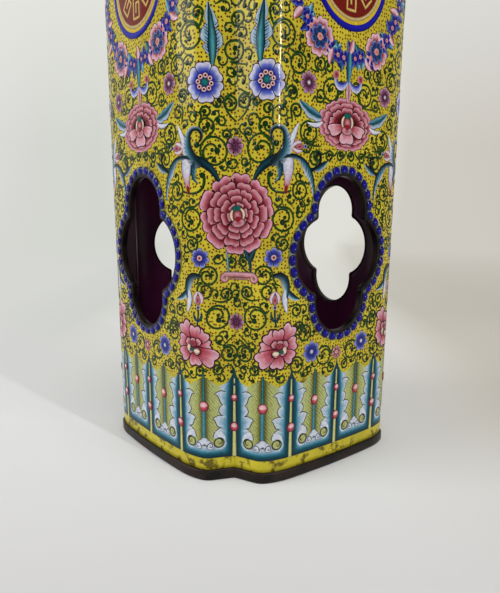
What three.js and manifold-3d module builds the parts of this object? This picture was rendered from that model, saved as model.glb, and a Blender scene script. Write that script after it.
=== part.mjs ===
// Hat stand: an open tube of enamelled copper that stands on a table and holds a hat on its mouth.
// Four lobed walls of sheet copper meet in four notches. Each wall is pierced by one quatrefoil
// window with a copper edging and a border of raised enamel beads. A foot rim with a base plate
// closes the tube below, and a mouth rim binds it above.
// Millimetres, +Z up, origin at the centre of the foot. Each wall faces +X, +Y, -X or -Y.
import * as THREE from "three";
import { mergeVertices } from "three/addons/utils/BufferGeometryUtils.js";
import Module from "manifold-3d";

const wasm = await Module();
wasm.setup();

// Overall
const totalHeight = 285;
const apothem = 58; // axis to the middle of a wall's outer face
const sideCount = 4;
const seat = 0.3; // solder and enamel film between two pieces that lie on each other

// Plan of one wall, from its middle to the notch: crown, shoulder, bend, straight flank, notch
const crownTurn = THREE.MathUtils.degToRad(3.9);
const shoulderTurn = THREE.MathUtils.degToRad(23.8);
const notchTurn = THREE.MathUtils.degToRad(67.6);
const cornerTurn = Math.PI / sideCount;
const shoulderRadius = 30.7;
const bendRadius = 6.5;
const flankLength = 8.4;
const notchRadius = 2.2;

// Walls
const wallThickness = 2.2;
const seamWidth = 0.3; // brazed seam between two walls, in the notch
const lapLength = 4.5; // tongue of each wall behind the next one
const lapThickness = 0.8;
const lapRoot = 2.5; // length over which the tongue is joined to its own wall

// Windows
const windowHeight = 90.9; // middle of a window above the table
const tallLobeRadius = 13.5; // upper and lower lobes
const tallLobeReach = 17.5; // their centres above and below the middle
const wideLobeRadius = 15.3; // lobes to the left and right
const wideLobeReach = 8.5;
const cuspRadius = 1.7;
const edgingWidth = 0.9;
const edgingStand = 0.3; // the edging stands proud of both faces of the wall
const borderWidth = 3.2;
const borderThickness = 0.35;
const beadCount = 36;
const beadWidth = 2.9;
const beadSpacing = 0.5; // bare band between two beads
const beadStand = 0.55; // height of a bead over the band

// Foot rim and base plate
const footHeight = 4.6;
const footStand = 0.9; // the foot rim stands proud of the walls
const footInset = 0.2; // its bore lies this far inside the walls
const footRound = 0.8;
const ledgeWidth = 3;
const ledgeThickness = 1.4;
const plateThickness = 1.2;
const plateClearance = 0.3;

// Mouth rim
const mouthHeight = 4.6;
const mouthStand = 0.6;
const mouthInset = 1.4;
const mouthRound = 1.2;
const tongueDepth = 4;
const tongueThickness = 1;
const tongueClearance = 0.25;

// How finely the curves are divided
const crownSteps = 2;
const shoulderSteps = 3;
const bendSteps = 4;
const notchSteps = 2;
const lobeSteps = 8;
const cuspSteps = 2;
const roundSteps = 2;
const beadSides = 6;
const beadRings = 4;
const overrun = 6; // how far a cutter runs past the wall that it cuts

const footTop = footHeight;
const wallTop = totalHeight - mouthHeight;

// One arc of the plan: the outer face runs from turn `from` to turn `to` about a centre that lies
// `radius` behind the face. A negative radius bends the face the other way, as in the notch.
function planArc(start, radius, from, to, steps) {
  return Array.from({ length: steps }, (_, i) => {
    const turn = from + ((to - from) * (i + 1)) / steps;
    return {
      x: start.x + radius * (Math.cos(turn) - Math.cos(from)),
      y: start.y + radius * (Math.sin(turn) - Math.sin(from)),
      turn,
    };
  });
}

// Half of a wall's plan, from the middle of the wall to the middle of the notch. The crown's radius
// is what brings the curve to the notch on the diagonal between two walls.
function halfPlan() {
  const span = (radius, from, to) => ({
    x: radius * (Math.cos(to) - Math.cos(from)),
    y: radius * (Math.sin(to) - Math.sin(from)),
  });
  const parts = [
    span(shoulderRadius, crownTurn, shoulderTurn),
    span(bendRadius, shoulderTurn, notchTurn),
    { x: -flankLength * Math.sin(notchTurn), y: flankLength * Math.cos(notchTurn) },
    span(-notchRadius, notchTurn, cornerTurn),
  ];
  const dx = parts.reduce((sum, p) => sum + p.x, 0);
  const dy = parts.reduce((sum, p) => sum + p.y, 0);
  const crownRadius = (apothem + dx - dy) / (Math.sin(crownTurn) + 1 - Math.cos(crownTurn));

  const points = [{ x: apothem, y: 0, turn: 0 }];
  const add = (radius, from, to, steps) => points.push(...planArc(points.at(-1), radius, from, to, steps));
  add(crownRadius, 0, crownTurn, crownSteps);
  add(shoulderRadius, crownTurn, shoulderTurn, shoulderSteps);
  add(bendRadius, shoulderTurn, notchTurn, bendSteps);
  const bend = points.at(-1);
  points.push({ x: bend.x + parts[2].x, y: bend.y + parts[2].y, turn: notchTurn });
  add(-notchRadius, notchTurn, cornerTurn, notchSteps);
  return points;
}

// A whole wall's plan, from notch to notch across +X.
function wallPlan() {
  const half = halfPlan();
  const mirrored = half.slice(1).reverse().map((p) => ({ x: p.x, y: -p.y, turn: -p.turn }));
  return [...mirrored, ...half];
}

// A plan point moved out of the outer face by `out`, as a Vector2.
const outward = (p, out) => new THREE.Vector2(p.x + out * Math.cos(p.turn), p.y + out * Math.sin(p.turn));

// The point and turn of a plan at a distance along it.
function planAt(plan, distance) {
  let left = distance;
  for (let i = 1; i < plan.length; i++) {
    const a = plan[i - 1];
    const b = plan[i];
    const length = Math.hypot(b.x - a.x, b.y - a.y);
    if (left <= length || i === plan.length - 1) {
      const share = left / length;
      return {
        x: a.x + (b.x - a.x) * share,
        y: a.y + (b.y - a.y) * share,
        turn: a.turn + (b.turn - a.turn) * share,
      };
    }
    left -= length;
  }
}

// The stretch of a plan between two distances along it, its own points kept.
function planBetween(plan, from, to) {
  let run = 0;
  const kept = [planAt(plan, from)];
  for (let i = 1; i < plan.length; i++) {
    run += Math.hypot(plan[i].x - plan[i - 1].x, plan[i].y - plan[i - 1].y);
    if (run > from && run < to) kept.push(plan[i]);
  }
  kept.push(planAt(plan, to));
  return kept;
}

const planLength = (plan) =>
  plan.reduce((sum, p, i) => (i ? sum + Math.hypot(p.x - plan[i - 1].x, p.y - plan[i - 1].y) : 0), 0);

const turned = (p, angle) => ({
  x: p.x * Math.cos(angle) - p.y * Math.sin(angle),
  y: p.x * Math.sin(angle) + p.y * Math.cos(angle),
  turn: p.turn + angle,
});

// Solids
function solidOf(geometry) {
  const bare = geometry.clone();
  bare.deleteAttribute("normal");
  bare.deleteAttribute("uv");
  const merged = mergeVertices(bare);
  return new wasm.Manifold(
    new wasm.Mesh({
      numProp: 3,
      vertProperties: merged.attributes.position.array,
      triVerts: new Uint32Array(merged.index.array),
    }),
  );
}

function geometryOf(solid) {
  const mesh = solid.getMesh();
  const geometry = new THREE.BufferGeometry();
  geometry.setAttribute("position", new THREE.BufferAttribute(mesh.vertProperties, 3));
  geometry.setIndex(new THREE.BufferAttribute(mesh.triVerts, 1));
  geometry.computeVertexNormals();
  return geometry;
}

// An outline on the table, raised from `bottom` to `top`.
function upright(outline, bottom, top) {
  const geometry = new THREE.ExtrudeGeometry(new THREE.Shape(outline), {
    depth: top - bottom,
    bevelEnabled: false,
  });
  return geometry.translate(0, 0, bottom);
}

// A skin over a stretch of plan, between two distances out of the outer face.
function skin(stretch, outer, inner, bottom, top) {
  const outline = stretch.map((p) => outward(p, outer));
  outline.push(...[...stretch].reverse().map((p) => outward(p, inner)));
  return upright(outline, bottom, top);
}

const plan = wallPlan();
const wallLength = planLength(plan);
const fullPlan = Array.from({ length: sideCount }, (_, k) =>
  plan.slice(1).map((p) => turned(p, (2 * Math.PI * k) / sideCount)),
).flat();

// A closed moulding along the whole plan. The profile's points are [out of the face, height],
// counter-clockwise with the outside to the right.
function moulding(profile) {
  const rows = fullPlan.length;
  const columns = profile.length;
  const position = [];
  for (const p of fullPlan) {
    for (const [out, z] of profile) {
      const q = outward(p, out);
      position.push(q.x, q.y, z);
    }
  }
  const index = [];
  for (let i = 0; i < rows; i++) {
    const next = (i + 1) % rows;
    for (let j = 0; j < columns; j++) {
      const up = (j + 1) % columns;
      const [a, b, c, d] = [i * columns + j, next * columns + j, next * columns + up, i * columns + up];
      index.push(a, b, c, a, c, d);
    }
  }
  const geometry = new THREE.BufferGeometry();
  geometry.setAttribute("position", new THREE.Float32BufferAttribute(position, 3));
  geometry.setIndex(index);
  geometry.computeVertexNormals();
  return geometry;
}

// Points of a quarter round in a moulding's profile, from angle `from` to `to`.
function quarterRound(out, z, radius, from, to) {
  return Array.from({ length: roundSteps + 1 }, (_, i) => {
    const angle = from + ((to - from) * i) / roundSteps;
    return [out + radius * Math.cos(angle), z + radius * Math.sin(angle)];
  });
}

// The outline of a window, grown by `grow`: four lobes, with the wall's cusps between them rounded
// as far as the growth leaves them any radius.
function windowOutline(grow) {
  const round = Math.max(cuspRadius - grow, 0);
  const tall = tallLobeRadius + grow;
  const wide = wideLobeRadius + grow;
  // The centre of the rounding, beside a tall lobe and a wide one.
  const apart = Math.hypot(tallLobeReach, wideLobeReach);
  const reachTall = tall + round;
  const reachWide = wide + round;
  const along = (reachTall ** 2 - reachWide ** 2 + apart ** 2) / (2 * apart);
  const off = Math.sqrt(reachTall ** 2 - along ** 2);
  const ux = wideLobeReach / apart;
  const uz = -tallLobeReach / apart;
  const cusp = {
    x: ux * along - uz * off,
    z: tallLobeReach + uz * along + ux * off,
  };
  const tallAngle = Math.atan2(cusp.z - tallLobeReach, cusp.x);
  const wideAngle = Math.atan2(cusp.z, cusp.x - wideLobeReach);

  const points = [];
  const arc = (x, z, radius, from, to, steps) => {
    for (let i = 0; i < steps; i++) {
      const angle = from + ((to - from) * i) / steps;
      points.push(new THREE.Vector2(x + radius * Math.cos(angle), z + radius * Math.sin(angle)));
    }
  };
  const half = Math.PI;
  const steps = round > 0 ? cuspSteps : 1;
  arc(wideLobeReach, 0, wide, -wideAngle, wideAngle, lobeSteps);
  arc(cusp.x, cusp.z, round, wideAngle + half, tallAngle + half, steps);
  arc(0, tallLobeReach, tall, tallAngle, half - tallAngle, lobeSteps);
  arc(-cusp.x, cusp.z, round, -tallAngle, -wideAngle, steps);
  arc(-wideLobeReach, 0, wide, half - wideAngle, half + wideAngle, lobeSteps);
  arc(-cusp.x, -cusp.z, round, wideAngle, tallAngle, steps);
  arc(0, -tallLobeReach, tall, half + tallAngle, 2 * half - tallAngle, lobeSteps);
  arc(cusp.x, -cusp.z, round, half - tallAngle, half - wideAngle, steps);
  return points;
}

// A window's outline as a block that runs through the wall on +X.
function windowBlock(outer, inner) {
  const shape = new THREE.Shape(outer);
  if (inner) shape.holes.push(new THREE.Path(inner));
  const depth = apothem;
  const geometry = new THREE.ExtrudeGeometry(shape, { depth, bevelEnabled: false });
  const facing = new THREE.Matrix4().makeBasis(
    new THREE.Vector3(0, 1, 0),
    new THREE.Vector3(0, 0, 1),
    new THREE.Vector3(1, 0, 0),
  );
  return geometry.applyMatrix4(facing).translate(apothem + overrun - depth, 0, windowHeight);
}

// Wall: the lobed sheet, pierced by its window, with the lap tongue behind the next wall.
function wallGeometry() {
  const sheet = skin(
    planBetween(plan, seamWidth / 2, wallLength - seamWidth / 2),
    0,
    -wallThickness,
    footTop,
    wallTop,
  );
  const beyond = plan.slice(1).map((p) => turned(p, (2 * Math.PI) / sideCount));
  const lapPlan = [...plan, ...beyond];
  const lapInner = wallThickness + seat + lapThickness;
  const lapTop = wallTop - tongueDepth - tongueClearance;
  const tongue = skin(
    planBetween(lapPlan, wallLength - lapRoot, wallLength + lapLength),
    -wallThickness - seat,
    -lapInner,
    footTop,
    lapTop,
  );
  const root = skin(
    planBetween(plan, wallLength - lapRoot, wallLength - seamWidth / 2),
    -wallThickness / 2,
    -lapInner,
    footTop,
    lapTop,
  );
  const opening = windowBlock(windowOutline(edgingWidth + seat));
  return geometryOf(
    solidOf(sheet).add(solidOf(root)).add(solidOf(tongue)).subtract(solidOf(opening)),
  );
}

// Edging: the copper strip that lines a window and covers the cut edge of the wall.
function edgingGeometry() {
  const ring = windowBlock(windowOutline(edgingWidth), windowOutline(0));
  const band = skin(plan, edgingStand, -wallThickness - edgingStand, footTop, wallTop);
  return geometryOf(solidOf(ring).intersect(solidOf(band)));
}

// A unit dome: a sphere whose lower half is pressed flat.
function domeGeometry() {
  const dome = new THREE.SphereGeometry(1, beadSides, beadRings);
  const position = dome.attributes.position;
  for (let i = 0; i < position.count; i++) position.setY(i, Math.max(position.getY(i), 0));
  return dome;
}

// Border: a flat enamel band round the edging, with a row of raised oval beads.
function borderGeometry() {
  const inner = edgingWidth + seat;
  const middle = edgingWidth + borderWidth / 2;
  const ring = windowBlock(windowOutline(edgingWidth + borderWidth), windowOutline(inner));
  const band = skin(plan, seat + borderThickness, seat, footTop, wallTop);
  let border = solidOf(ring).intersect(solidOf(band));

  const path = new THREE.Path(windowOutline(middle)).closePath();
  const pitch = path.getLength() / beadCount;
  const beads = [];
  for (let i = 0; i < beadCount; i++) {
    const share = (i + 1 / 2) / beadCount;
    const at = path.getPointAt(share);
    const along = path.getTangentAt(share);
    const foot = planAt(plan, wallLength / 2 + at.x);
    const out = new THREE.Vector3(Math.cos(foot.turn), Math.sin(foot.turn), 0);
    const sideways = new THREE.Vector3(-Math.sin(foot.turn), Math.cos(foot.turn), 0);
    const tangent = sideways.multiplyScalar(along.x).add(new THREE.Vector3(0, 0, along.y));
    const across = new THREE.Vector3().crossVectors(tangent, out);
    const bead = domeGeometry();
    bead.applyMatrix4(
      new THREE.Matrix4()
        .makeBasis(tangent, out, across)
        .scale(new THREE.Vector3((pitch - beadSpacing) / 2, beadStand + borderThickness / 2, beadWidth / 2)),
    );
    const base = outward(foot, seat + borderThickness / 2);
    bead.translate(base.x, base.y, windowHeight + at.y);
    beads.push(solidOf(bead));
  }
  return geometryOf(beads.reduce((sum, bead) => sum.add(bead), border));
}

// Foot rim: a strip under the walls with a rounded toe and an inner ledge for the base plate.
function footGeometry() {
  const bore = -wallThickness - footInset;
  const ledgeTop = footTop - plateThickness;
  return moulding([
    [bore, 0],
    ...quarterRound(footStand - footRound, footRound, footRound, -Math.PI / 2, 0),
    ...quarterRound(footStand - footRound, footTop - footRound, footRound, 0, Math.PI / 2),
    [bore, footTop],
    [bore, ledgeTop],
    [bore - ledgeWidth, ledgeTop],
    [bore - ledgeWidth, ledgeTop - ledgeThickness],
    [bore, ledgeTop - ledgeThickness],
  ]);
}

// Base plate: a flat sheet that drops down the tube and lies on the ledge of the foot rim.
function plateGeometry() {
  const edge = -wallThickness - footInset - plateClearance;
  return upright(
    fullPlan.map((p) => outward(p, edge)),
    footTop - plateThickness,
    footTop,
  );
}

// Mouth rim: a rounded lip on top of the walls with a tongue that reaches down inside them.
function mouthGeometry() {
  const outer = mouthStand - mouthRound;
  const inner = -wallThickness - mouthInset;
  const top = totalHeight - mouthRound;
  const tongueOuter = -wallThickness - tongueClearance;
  const tongueInner = tongueOuter - tongueThickness;
  return moulding([
    [mouthStand, wallTop],
    ...quarterRound(outer, top, mouthRound, 0, Math.PI / 2),
    [inner, totalHeight],
    [inner, wallTop],
    [tongueInner, wallTop - tongueThickness / 2],
    [tongueInner, wallTop - tongueDepth],
    [tongueOuter, wallTop - tongueDepth],
    [tongueOuter, wallTop],
  ]);
}

// Materials
const yellowEnamel = () => new THREE.MeshStandardMaterial({ color: 0xd9bf22, roughness: 0.18, metalness: 0 });
const blueEnamel = () => new THREE.MeshStandardMaterial({ color: 0x1c1f9a, roughness: 0.15, metalness: 0 });
const bareCopper = () => new THREE.MeshStandardMaterial({ color: 0x33241d, roughness: 0.42, metalness: 0.8 });
const plumEnamel = () => new THREE.MeshStandardMaterial({ color: 0x2e0f20, roughness: 0.2, metalness: 0 });

// Assembly
const hatStand = new THREE.Group();
hatStand.name = "hat_stand";

function place(parent, name, geometry, material) {
  const mesh = new THREE.Mesh(geometry, material);
  mesh.name = name;
  parent.add(mesh);
  return mesh;
}

const wall = wallGeometry();
const edging = edgingGeometry();
const border = borderGeometry();
["right", "back", "left", "front"].forEach((side, k) => {
  const facing = new THREE.Group();
  facing.rotation.z = (2 * Math.PI * k) / sideCount;
  place(facing, `wall_${side}`, wall, yellowEnamel());
  place(facing, `window_edging_${side}`, edging, bareCopper());
  place(facing, `bead_border_${side}`, border, blueEnamel());
  hatStand.add(facing);
});
place(hatStand, "foot_rim", footGeometry(), bareCopper());
place(hatStand, "base_plate", plateGeometry(), plumEnamel());
place(hatStand, "mouth_rim", mouthGeometry(), bareCopper());

export default hatStand;
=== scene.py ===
# %% [markdown]
# # A painted enamel hat stand
#
# The real object is an open tube of sheet copper, painted with enamel colours and fired. Its four
# walls bulge a little, turn round a tight bend and meet in four notches. Each wall has one
# quatrefoil window with a border of raised blue beads. The CAD frame below holds every piece at
# its real size, and this script gives each surface its enamel.

# %% Load the frame
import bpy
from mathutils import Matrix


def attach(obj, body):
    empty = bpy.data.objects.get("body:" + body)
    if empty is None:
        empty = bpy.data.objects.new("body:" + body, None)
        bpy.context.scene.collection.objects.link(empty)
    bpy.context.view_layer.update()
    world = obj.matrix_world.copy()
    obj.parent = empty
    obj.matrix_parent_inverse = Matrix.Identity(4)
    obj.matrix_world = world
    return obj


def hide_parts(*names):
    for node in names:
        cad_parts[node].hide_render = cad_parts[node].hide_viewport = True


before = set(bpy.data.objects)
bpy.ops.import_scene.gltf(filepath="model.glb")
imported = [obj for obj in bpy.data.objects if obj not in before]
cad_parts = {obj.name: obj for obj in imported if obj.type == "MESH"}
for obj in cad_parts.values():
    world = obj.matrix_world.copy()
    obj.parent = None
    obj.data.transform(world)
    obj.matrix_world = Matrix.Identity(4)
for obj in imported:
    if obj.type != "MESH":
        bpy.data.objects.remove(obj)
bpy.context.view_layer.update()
print("nodes:", sorted(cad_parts))

import bpy
import numpy as np
from mathutils import Matrix, Vector

# %% [markdown]
# ## Sizes
#
# The walls are drawn in millimetres, as a decorator would mark them out, and become metres when a
# mesh is made. `s` runs round the tube from the front notch towards the right wall, and `z` up
# from the table. The sizes are those of the CAD walls.

# %% Sizes of the tube
MM = 0.001
HEIGHT = 285.0
APOTHEM = 58.0
CROWN_TURN = np.radians(3.9)
SHOULDER_TURN = np.radians(23.8)
NOTCH_TURN = np.radians(67.6)
CORNER_TURN = np.radians(45.0)
SHOULDER_RADIUS = 30.7
BEND_RADIUS = 6.5
FLANK = 8.4
NOTCH_RADIUS = 2.2
WALL_THICKNESS = 2.2
WINDOW_Z = 90.9
FOOT_TOP = 4.6
WALL_TOP = HEIGHT - 4.6
print("tube", 2 * APOTHEM, "x", HEIGHT, "mm")

# %% [markdown]
# ## The plan curve
#
# One half of a wall's plan is four tangent arcs and a straight flank. The turn angle of the wall
# grows along it, so each stretch is an arc whose radius is known, and adding up small steps along
# the tangent gives the curve. The crown's radius is the one that brings the curve to the notch on
# the diagonal between two walls.


# %% Trace half a wall's plan
def stretch_span(radius, start, end):
    """Run in x and y of an arc: the radius times the change of the cosine and sine of the turn."""
    return np.array([radius * (np.cos(end) - np.cos(start)),
                     radius * (np.sin(end) - np.sin(start))])


def trace_half_plan(samples=200):
    """Distances, x, y and turn from a wall's middle to its notch: on each stretch the turn goes
    evenly from its first to its last value, and x and y follow the arc with that turn."""
    flank_run = FLANK * np.array([-np.sin(NOTCH_TURN), np.cos(NOTCH_TURN)])
    run = (stretch_span(SHOULDER_RADIUS, CROWN_TURN, SHOULDER_TURN)
           + stretch_span(BEND_RADIUS, SHOULDER_TURN, NOTCH_TURN)
           + flank_run
           + stretch_span(-NOTCH_RADIUS, NOTCH_TURN, CORNER_TURN))
    crown = (APOTHEM + run[0] - run[1]) / (np.sin(CROWN_TURN) + 1 - np.cos(CROWN_TURN))
    share = np.linspace(0, 1, samples)[1:]
    stretches = [
        (crown, 0.0, CROWN_TURN),
        (SHOULDER_RADIUS, CROWN_TURN, SHOULDER_TURN),
        (BEND_RADIUS, SHOULDER_TURN, NOTCH_TURN),
        None,
        (-NOTCH_RADIUS, NOTCH_TURN, CORNER_TURN),
    ]
    place = np.array([APOTHEM, 0.0])
    points, turns = [place[None]], [np.zeros(1)]
    for stretch in stretches:
        if stretch is None:
            part = place + share[:, None] * flank_run
            turn = np.full(len(share), NOTCH_TURN)
        else:
            radius, start, end = stretch
            turn = start + (end - start) * share
            part = place + stretch_span(radius, start, turn).T
        points.append(part)
        turns.append(turn)
        place = part[-1]
    xy = np.concatenate(points)
    distance = np.concatenate([[0], np.cumsum(np.hypot(*np.diff(xy, axis=0).T))])
    return distance, xy[:, 0], xy[:, 1], np.concatenate(turns)


PLAN_DISTANCE, PLAN_X, PLAN_Y, PLAN_TURN = trace_half_plan()
HALF_WALL = PLAN_DISTANCE[-1]
WALL = 2 * HALF_WALL
print("one wall, notch to notch, is", round(WALL, 2), "mm")

# %% [markdown]
# ## From drawing to wall
#
# Everything painted on the tube is drawn flat in `s` and `z` and then laid on the wall. The same
# function serves the sheet itself, its beads and each brush stroke, so nothing can float or sink.


# %% Lay a drawing on the wall
def lay_on_wall(s, z, height=0.0):
    """Points in metres: the wall that s falls on gives a quarter turn, the distance from that
    wall's middle gives the place on the half plan, and height moves out along the wall's normal."""
    s, z, height = np.broadcast_arrays(np.asarray(s, float), z, height)
    wall = np.floor(s / WALL)
    across = s - (wall + 0.5) * WALL
    side = np.where(across < 0, -1.0, 1.0)
    x = np.interp(np.abs(across), PLAN_DISTANCE, PLAN_X)
    y = np.interp(np.abs(across), PLAN_DISTANCE, PLAN_Y) * side
    turn = np.interp(np.abs(across), PLAN_DISTANCE, PLAN_TURN) * side
    x = x + height * np.cos(turn)
    y = y + height * np.sin(turn)
    cos, sin = np.cos(wall * np.pi / 2), np.sin(wall * np.pi / 2)
    return np.stack([cos * x - sin * y, sin * x + cos * y, z], axis=-1) * MM


# %% Mesh and colour helpers
def make_mesh(name, vertices, faces, colours=None):
    """An object from an array of vertices and an array of faces, all with as many corners."""
    mesh = bpy.data.meshes.new(name)
    faces = np.asarray(faces, np.int32)
    corners = faces.shape[1]
    mesh.vertices.add(len(vertices))
    mesh.vertices.foreach_set("co", np.asarray(vertices, np.float32).ravel())
    mesh.loops.add(faces.size)
    mesh.loops.foreach_set("vertex_index", faces.ravel())
    mesh.polygons.add(len(faces))
    mesh.polygons.foreach_set("loop_start", np.arange(0, faces.size, corners, dtype=np.int32))
    mesh.polygons.foreach_set("use_smooth", np.full(len(faces), True))
    if colours is not None:
        paint = mesh.attributes.new("paint", "FLOAT_COLOR", "POINT")
        paint.data.foreach_set("color", np.asarray(colours, np.float32).ravel())
    mesh.update()
    mesh.validate()
    piece = bpy.data.objects.new(name, mesh)
    bpy.context.collection.objects.link(piece)
    return piece


def grid_faces(rows, columns, closed_rows=False, closed_columns=False):
    """Quads between neighbours of a rows by columns grid, joined end to end where it is closed."""
    i = np.arange(rows if closed_rows else rows - 1)[:, None]
    j = np.arange(columns if closed_columns else columns - 1)[None, :]
    i1, j1 = (i + 1) % rows, (j + 1) % columns
    corners = [i * columns + j, i1 * columns + j, i1 * columns + j1, i * columns + j1]
    return np.stack([c.ravel() for c in corners], axis=1)


def srgb(red, green, blue):
    """Linear colour of an 8-bit screen colour."""
    c = np.array([red, green, blue]) / 255
    return np.where(c <= 0.04045, c / 12.92, ((c + 0.055) / 1.055) ** 2.4)


# %% [markdown]
# ## Enamel
#
# Enamel is glass: a coloured body under a smooth clear surface, with faint waves from the kiln.
# All the painted work shares one shader that takes its colour from a point attribute. The ground
# adds its rows of fine dots in the shader, because thousands of modelled dots would cost more
# triangles than they show.


# %% Shader helpers
class Shader:
    """A material, and short ways to add the nodes that feed its Principled shader."""

    def __init__(self, name, **sockets):
        self.material = bpy.data.materials.new(name)
        self.material.use_nodes = True
        self.nodes = self.material.node_tree.nodes
        self.main = self.feed(self.nodes["Principled BSDF"], **sockets)
        self.place = self.node("TexCoord").outputs["Object"]

    def feed(self, node, *sources, **named):
        """Inputs, in their order or by name, take a value or another node's output."""
        pairs = list(zip(node.inputs, sources))
        pairs += [(node.inputs[key.replace("_", " ")], source) for key, source in named.items()]
        for socket, source in pairs:
            if isinstance(source, bpy.types.NodeSocket):
                self.material.node_tree.links.new(source, socket)
            else:
                socket.default_value = (*source, 1) if socket.type == "RGBA" else source
        return node

    def node(self, kind, *sources, **named):
        """A node. Each name is one of its inputs, or else one of its plain settings."""
        node = self.nodes.new("ShaderNode" + kind)
        for key in [key for key in named if hasattr(node, key)]:
            setattr(node, key, named.pop(key))
        return self.feed(node, *sources, **named)

    def math(self, operation, first, second):
        """One sum of two values."""
        return self.node("Math", first, second, operation=operation).outputs["Value"]

    def mix(self, share, first, second):
        """The first colour with a share of the second in it."""
        return self.node("MixRGB", share, first, second).outputs["Color"]

    def ranged(self, value, low, high, to_low=0.0, to_high=1.0):
        """A value's way from low to high, laid on the way from to_low to to_high."""
        return self.node("MapRange", value, low, high, to_low, to_high).outputs["Result"]

    def noise(self, scale, detail, roughness=0.5):
        """Noise on Object coordinates, which keeps to about NOISE_SPAN."""
        return self.node("TexNoise", Vector=self.place, Scale=scale, Detail=detail,
                         Roughness=roughness).outputs["Fac"]

    def ramp(self, share, stops):
        """A colour that follows the stops [(position, colour), ...]."""
        node = self.node("ValToRGB", share)
        steps = node.color_ramp.elements
        for step, (position, colour) in zip(steps, (stops[0], stops[-1])):
            step.position, step.color = position, (*colour, 1)
        for position, colour in stops[1:-1]:
            steps.new(position).color = (*colour, 1)
        return node.outputs["Color"]

    def toned(self, colour, noise):
        """A colour times a factor that the noise moves between BODY_TONES."""
        tone = self.ranged(noise, *NOISE_SPAN, *BODY_TONES)
        return self.node("VectorMath", colour, operation="SCALE", Scale=tone).outputs["Vector"]

    def relief(self, height, strength, depth, **coat):
        """Bump on the body, and on its coat where one is named."""
        bump = self.node("Bump", Height=height, Strength=strength, Distance=depth * MM)
        self.feed(self.main, **{name: bump.outputs["Normal"] for name in ("Normal", *coat)})

    def kiln_waves(self, depth=0.04, scale=60.0):
        """The faint waves of fired enamel."""
        self.relief(self.noise(scale, 3.0), 0.25, depth, Coat_Normal=True)


NOISE_SPAN = (0.3, 0.7)
BODY_TONES = (0.82, 1.12)
GLAZE = {"Roughness": 0.26, "Specular_IOR_Level": 0.06, "Coat_Weight": 0.3, "Coat_Roughness": 0.03}


# %% Painted enamel
HATCH_SCALE, HATCH_WAVER, HATCH_EDGE = 380.0, 4.0, (0.6, 0.95)
HATCH_INK = srgb(58, 60, 22)


def enamel_material():
    """Painted enamel: the point attribute gives the colour, and a thin coat gives the gloss. Where
    the attribute's alpha is under one, fine slanting lines hatch the colour."""
    shader = Shader("painted_enamel", **GLAZE)
    shader.kiln_waves()
    paint = shader.node("Attribute", attribute_name="paint").outputs
    body = shader.toned(paint["Color"], shader.noise(900.0, 2.0))
    waves = shader.node("TexWave", Vector=shader.place, bands_direction="DIAGONAL",
                        Scale=HATCH_SCALE, Distortion=HATCH_WAVER)
    lines = shader.ranged(waves.outputs["Fac"], *HATCH_EDGE)
    hatch = shader.math("MULTIPLY", lines, shader.math("SUBTRACT", 1.0, paint["Alpha"]))
    shader.feed(shader.main, Base_Color=shader.mix(hatch, body, HATCH_INK))
    return shader.material


PAINT = enamel_material()
print("paint shader ready")

# %% [markdown]
# ## The ground colour
#
# The decorator stippled the yellow ground with fine brown and green dots between the scrolls.
# Cells of a Voronoi texture on the drawing's own coordinates give one dot each, well spaced, in an
# amber halo. On the plain bands at foot and mouth the enamel is rubbed brown instead.

# %% Yellow ground with dots
DOT_CELLS, DOT_DISORDER = 68.0, 0.62  # cells in 100 mm of the drawing, and how far they stray
DOT_EDGE = (0.19, 0.27)  # from full ink to none, in cells
HALO_EDGE, HALO_SHARE = (0.24, 0.5), 0.34
HALO, DOT_BROWN, DOT_GREEN = srgb(186, 112, 8), srgb(90, 24, 4), srgb(22, 22, 3)
WEAR_SCALE, WEAR_DETAIL, WEAR_ROUGHNESS = 190.0, 5.0, 0.7
WEAR_EDGE, WEAR_SHARE, WORN = (0.52, 0.6), 0.85, srgb(74, 56, 20)


def ground_material():
    """Yellow enamel: a dot is drawn where the distance to a cell's centre is under its radius, as
    strongly as the attribute's alpha says. Wear shows as strongly as one less the alpha."""
    shader = Shader("yellow_ground", **GLAZE)
    shader.kiln_waves()
    paint = shader.node("Attribute", attribute_name="paint").outputs
    drawing = shader.node("UVMap", uv_map="drawing").outputs["UV"]
    cells = shader.node("TexVoronoi", Vector=drawing, voronoi_dimensions="2D", Scale=DOT_CELLS,
                        Randomness=DOT_DISORDER).outputs
    body = shader.toned(paint["Color"], shader.noise(70.0, 3.0))
    halo = shader.ranged(cells["Distance"], *HALO_EDGE, HALO_SHARE, 0.0)
    fired = shader.mix(shader.math("MULTIPLY", halo, paint["Alpha"]), body, HALO)
    rubbed = shader.ranged(shader.noise(WEAR_SCALE, WEAR_DETAIL, WEAR_ROUGHNESS), *WEAR_EDGE, 0.0,
                           WEAR_SHARE)
    bands = shader.math("SUBTRACT", 1.0, paint["Alpha"])
    worn = shader.mix(shader.math("MULTIPLY", rubbed, bands), fired, WORN)
    dot = shader.ranged(cells["Distance"], *DOT_EDGE, 1.0, 0.0)
    ink = shader.mix(cells["Color"], DOT_BROWN, DOT_GREEN)
    stippled = shader.mix(shader.math("MULTIPLY", dot, paint["Alpha"]), worn, ink)
    shader.feed(shader.main, Base_Color=stippled)
    return shader.material


GROUND = ground_material()


# %% Plum enamel and dark copper
def counter_enamel_material():
    """The plum enamel of the inside: dark, glossy and cloudy."""
    shader = Shader("counter_enamel", Roughness=0.32, Specular_IOR_Level=0.2, Coat_Weight=0.08,
                    Coat_Roughness=0.06)
    shader.kiln_waves(depth=0.12, scale=45.0)
    clouds = [(0.3, srgb(58, 16, 44)), (0.72, srgb(92, 32, 70))]
    shader.feed(shader.main, Base_Color=shader.ramp(shader.noise(35.0, 4.0), clouds))
    return shader.material


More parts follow.
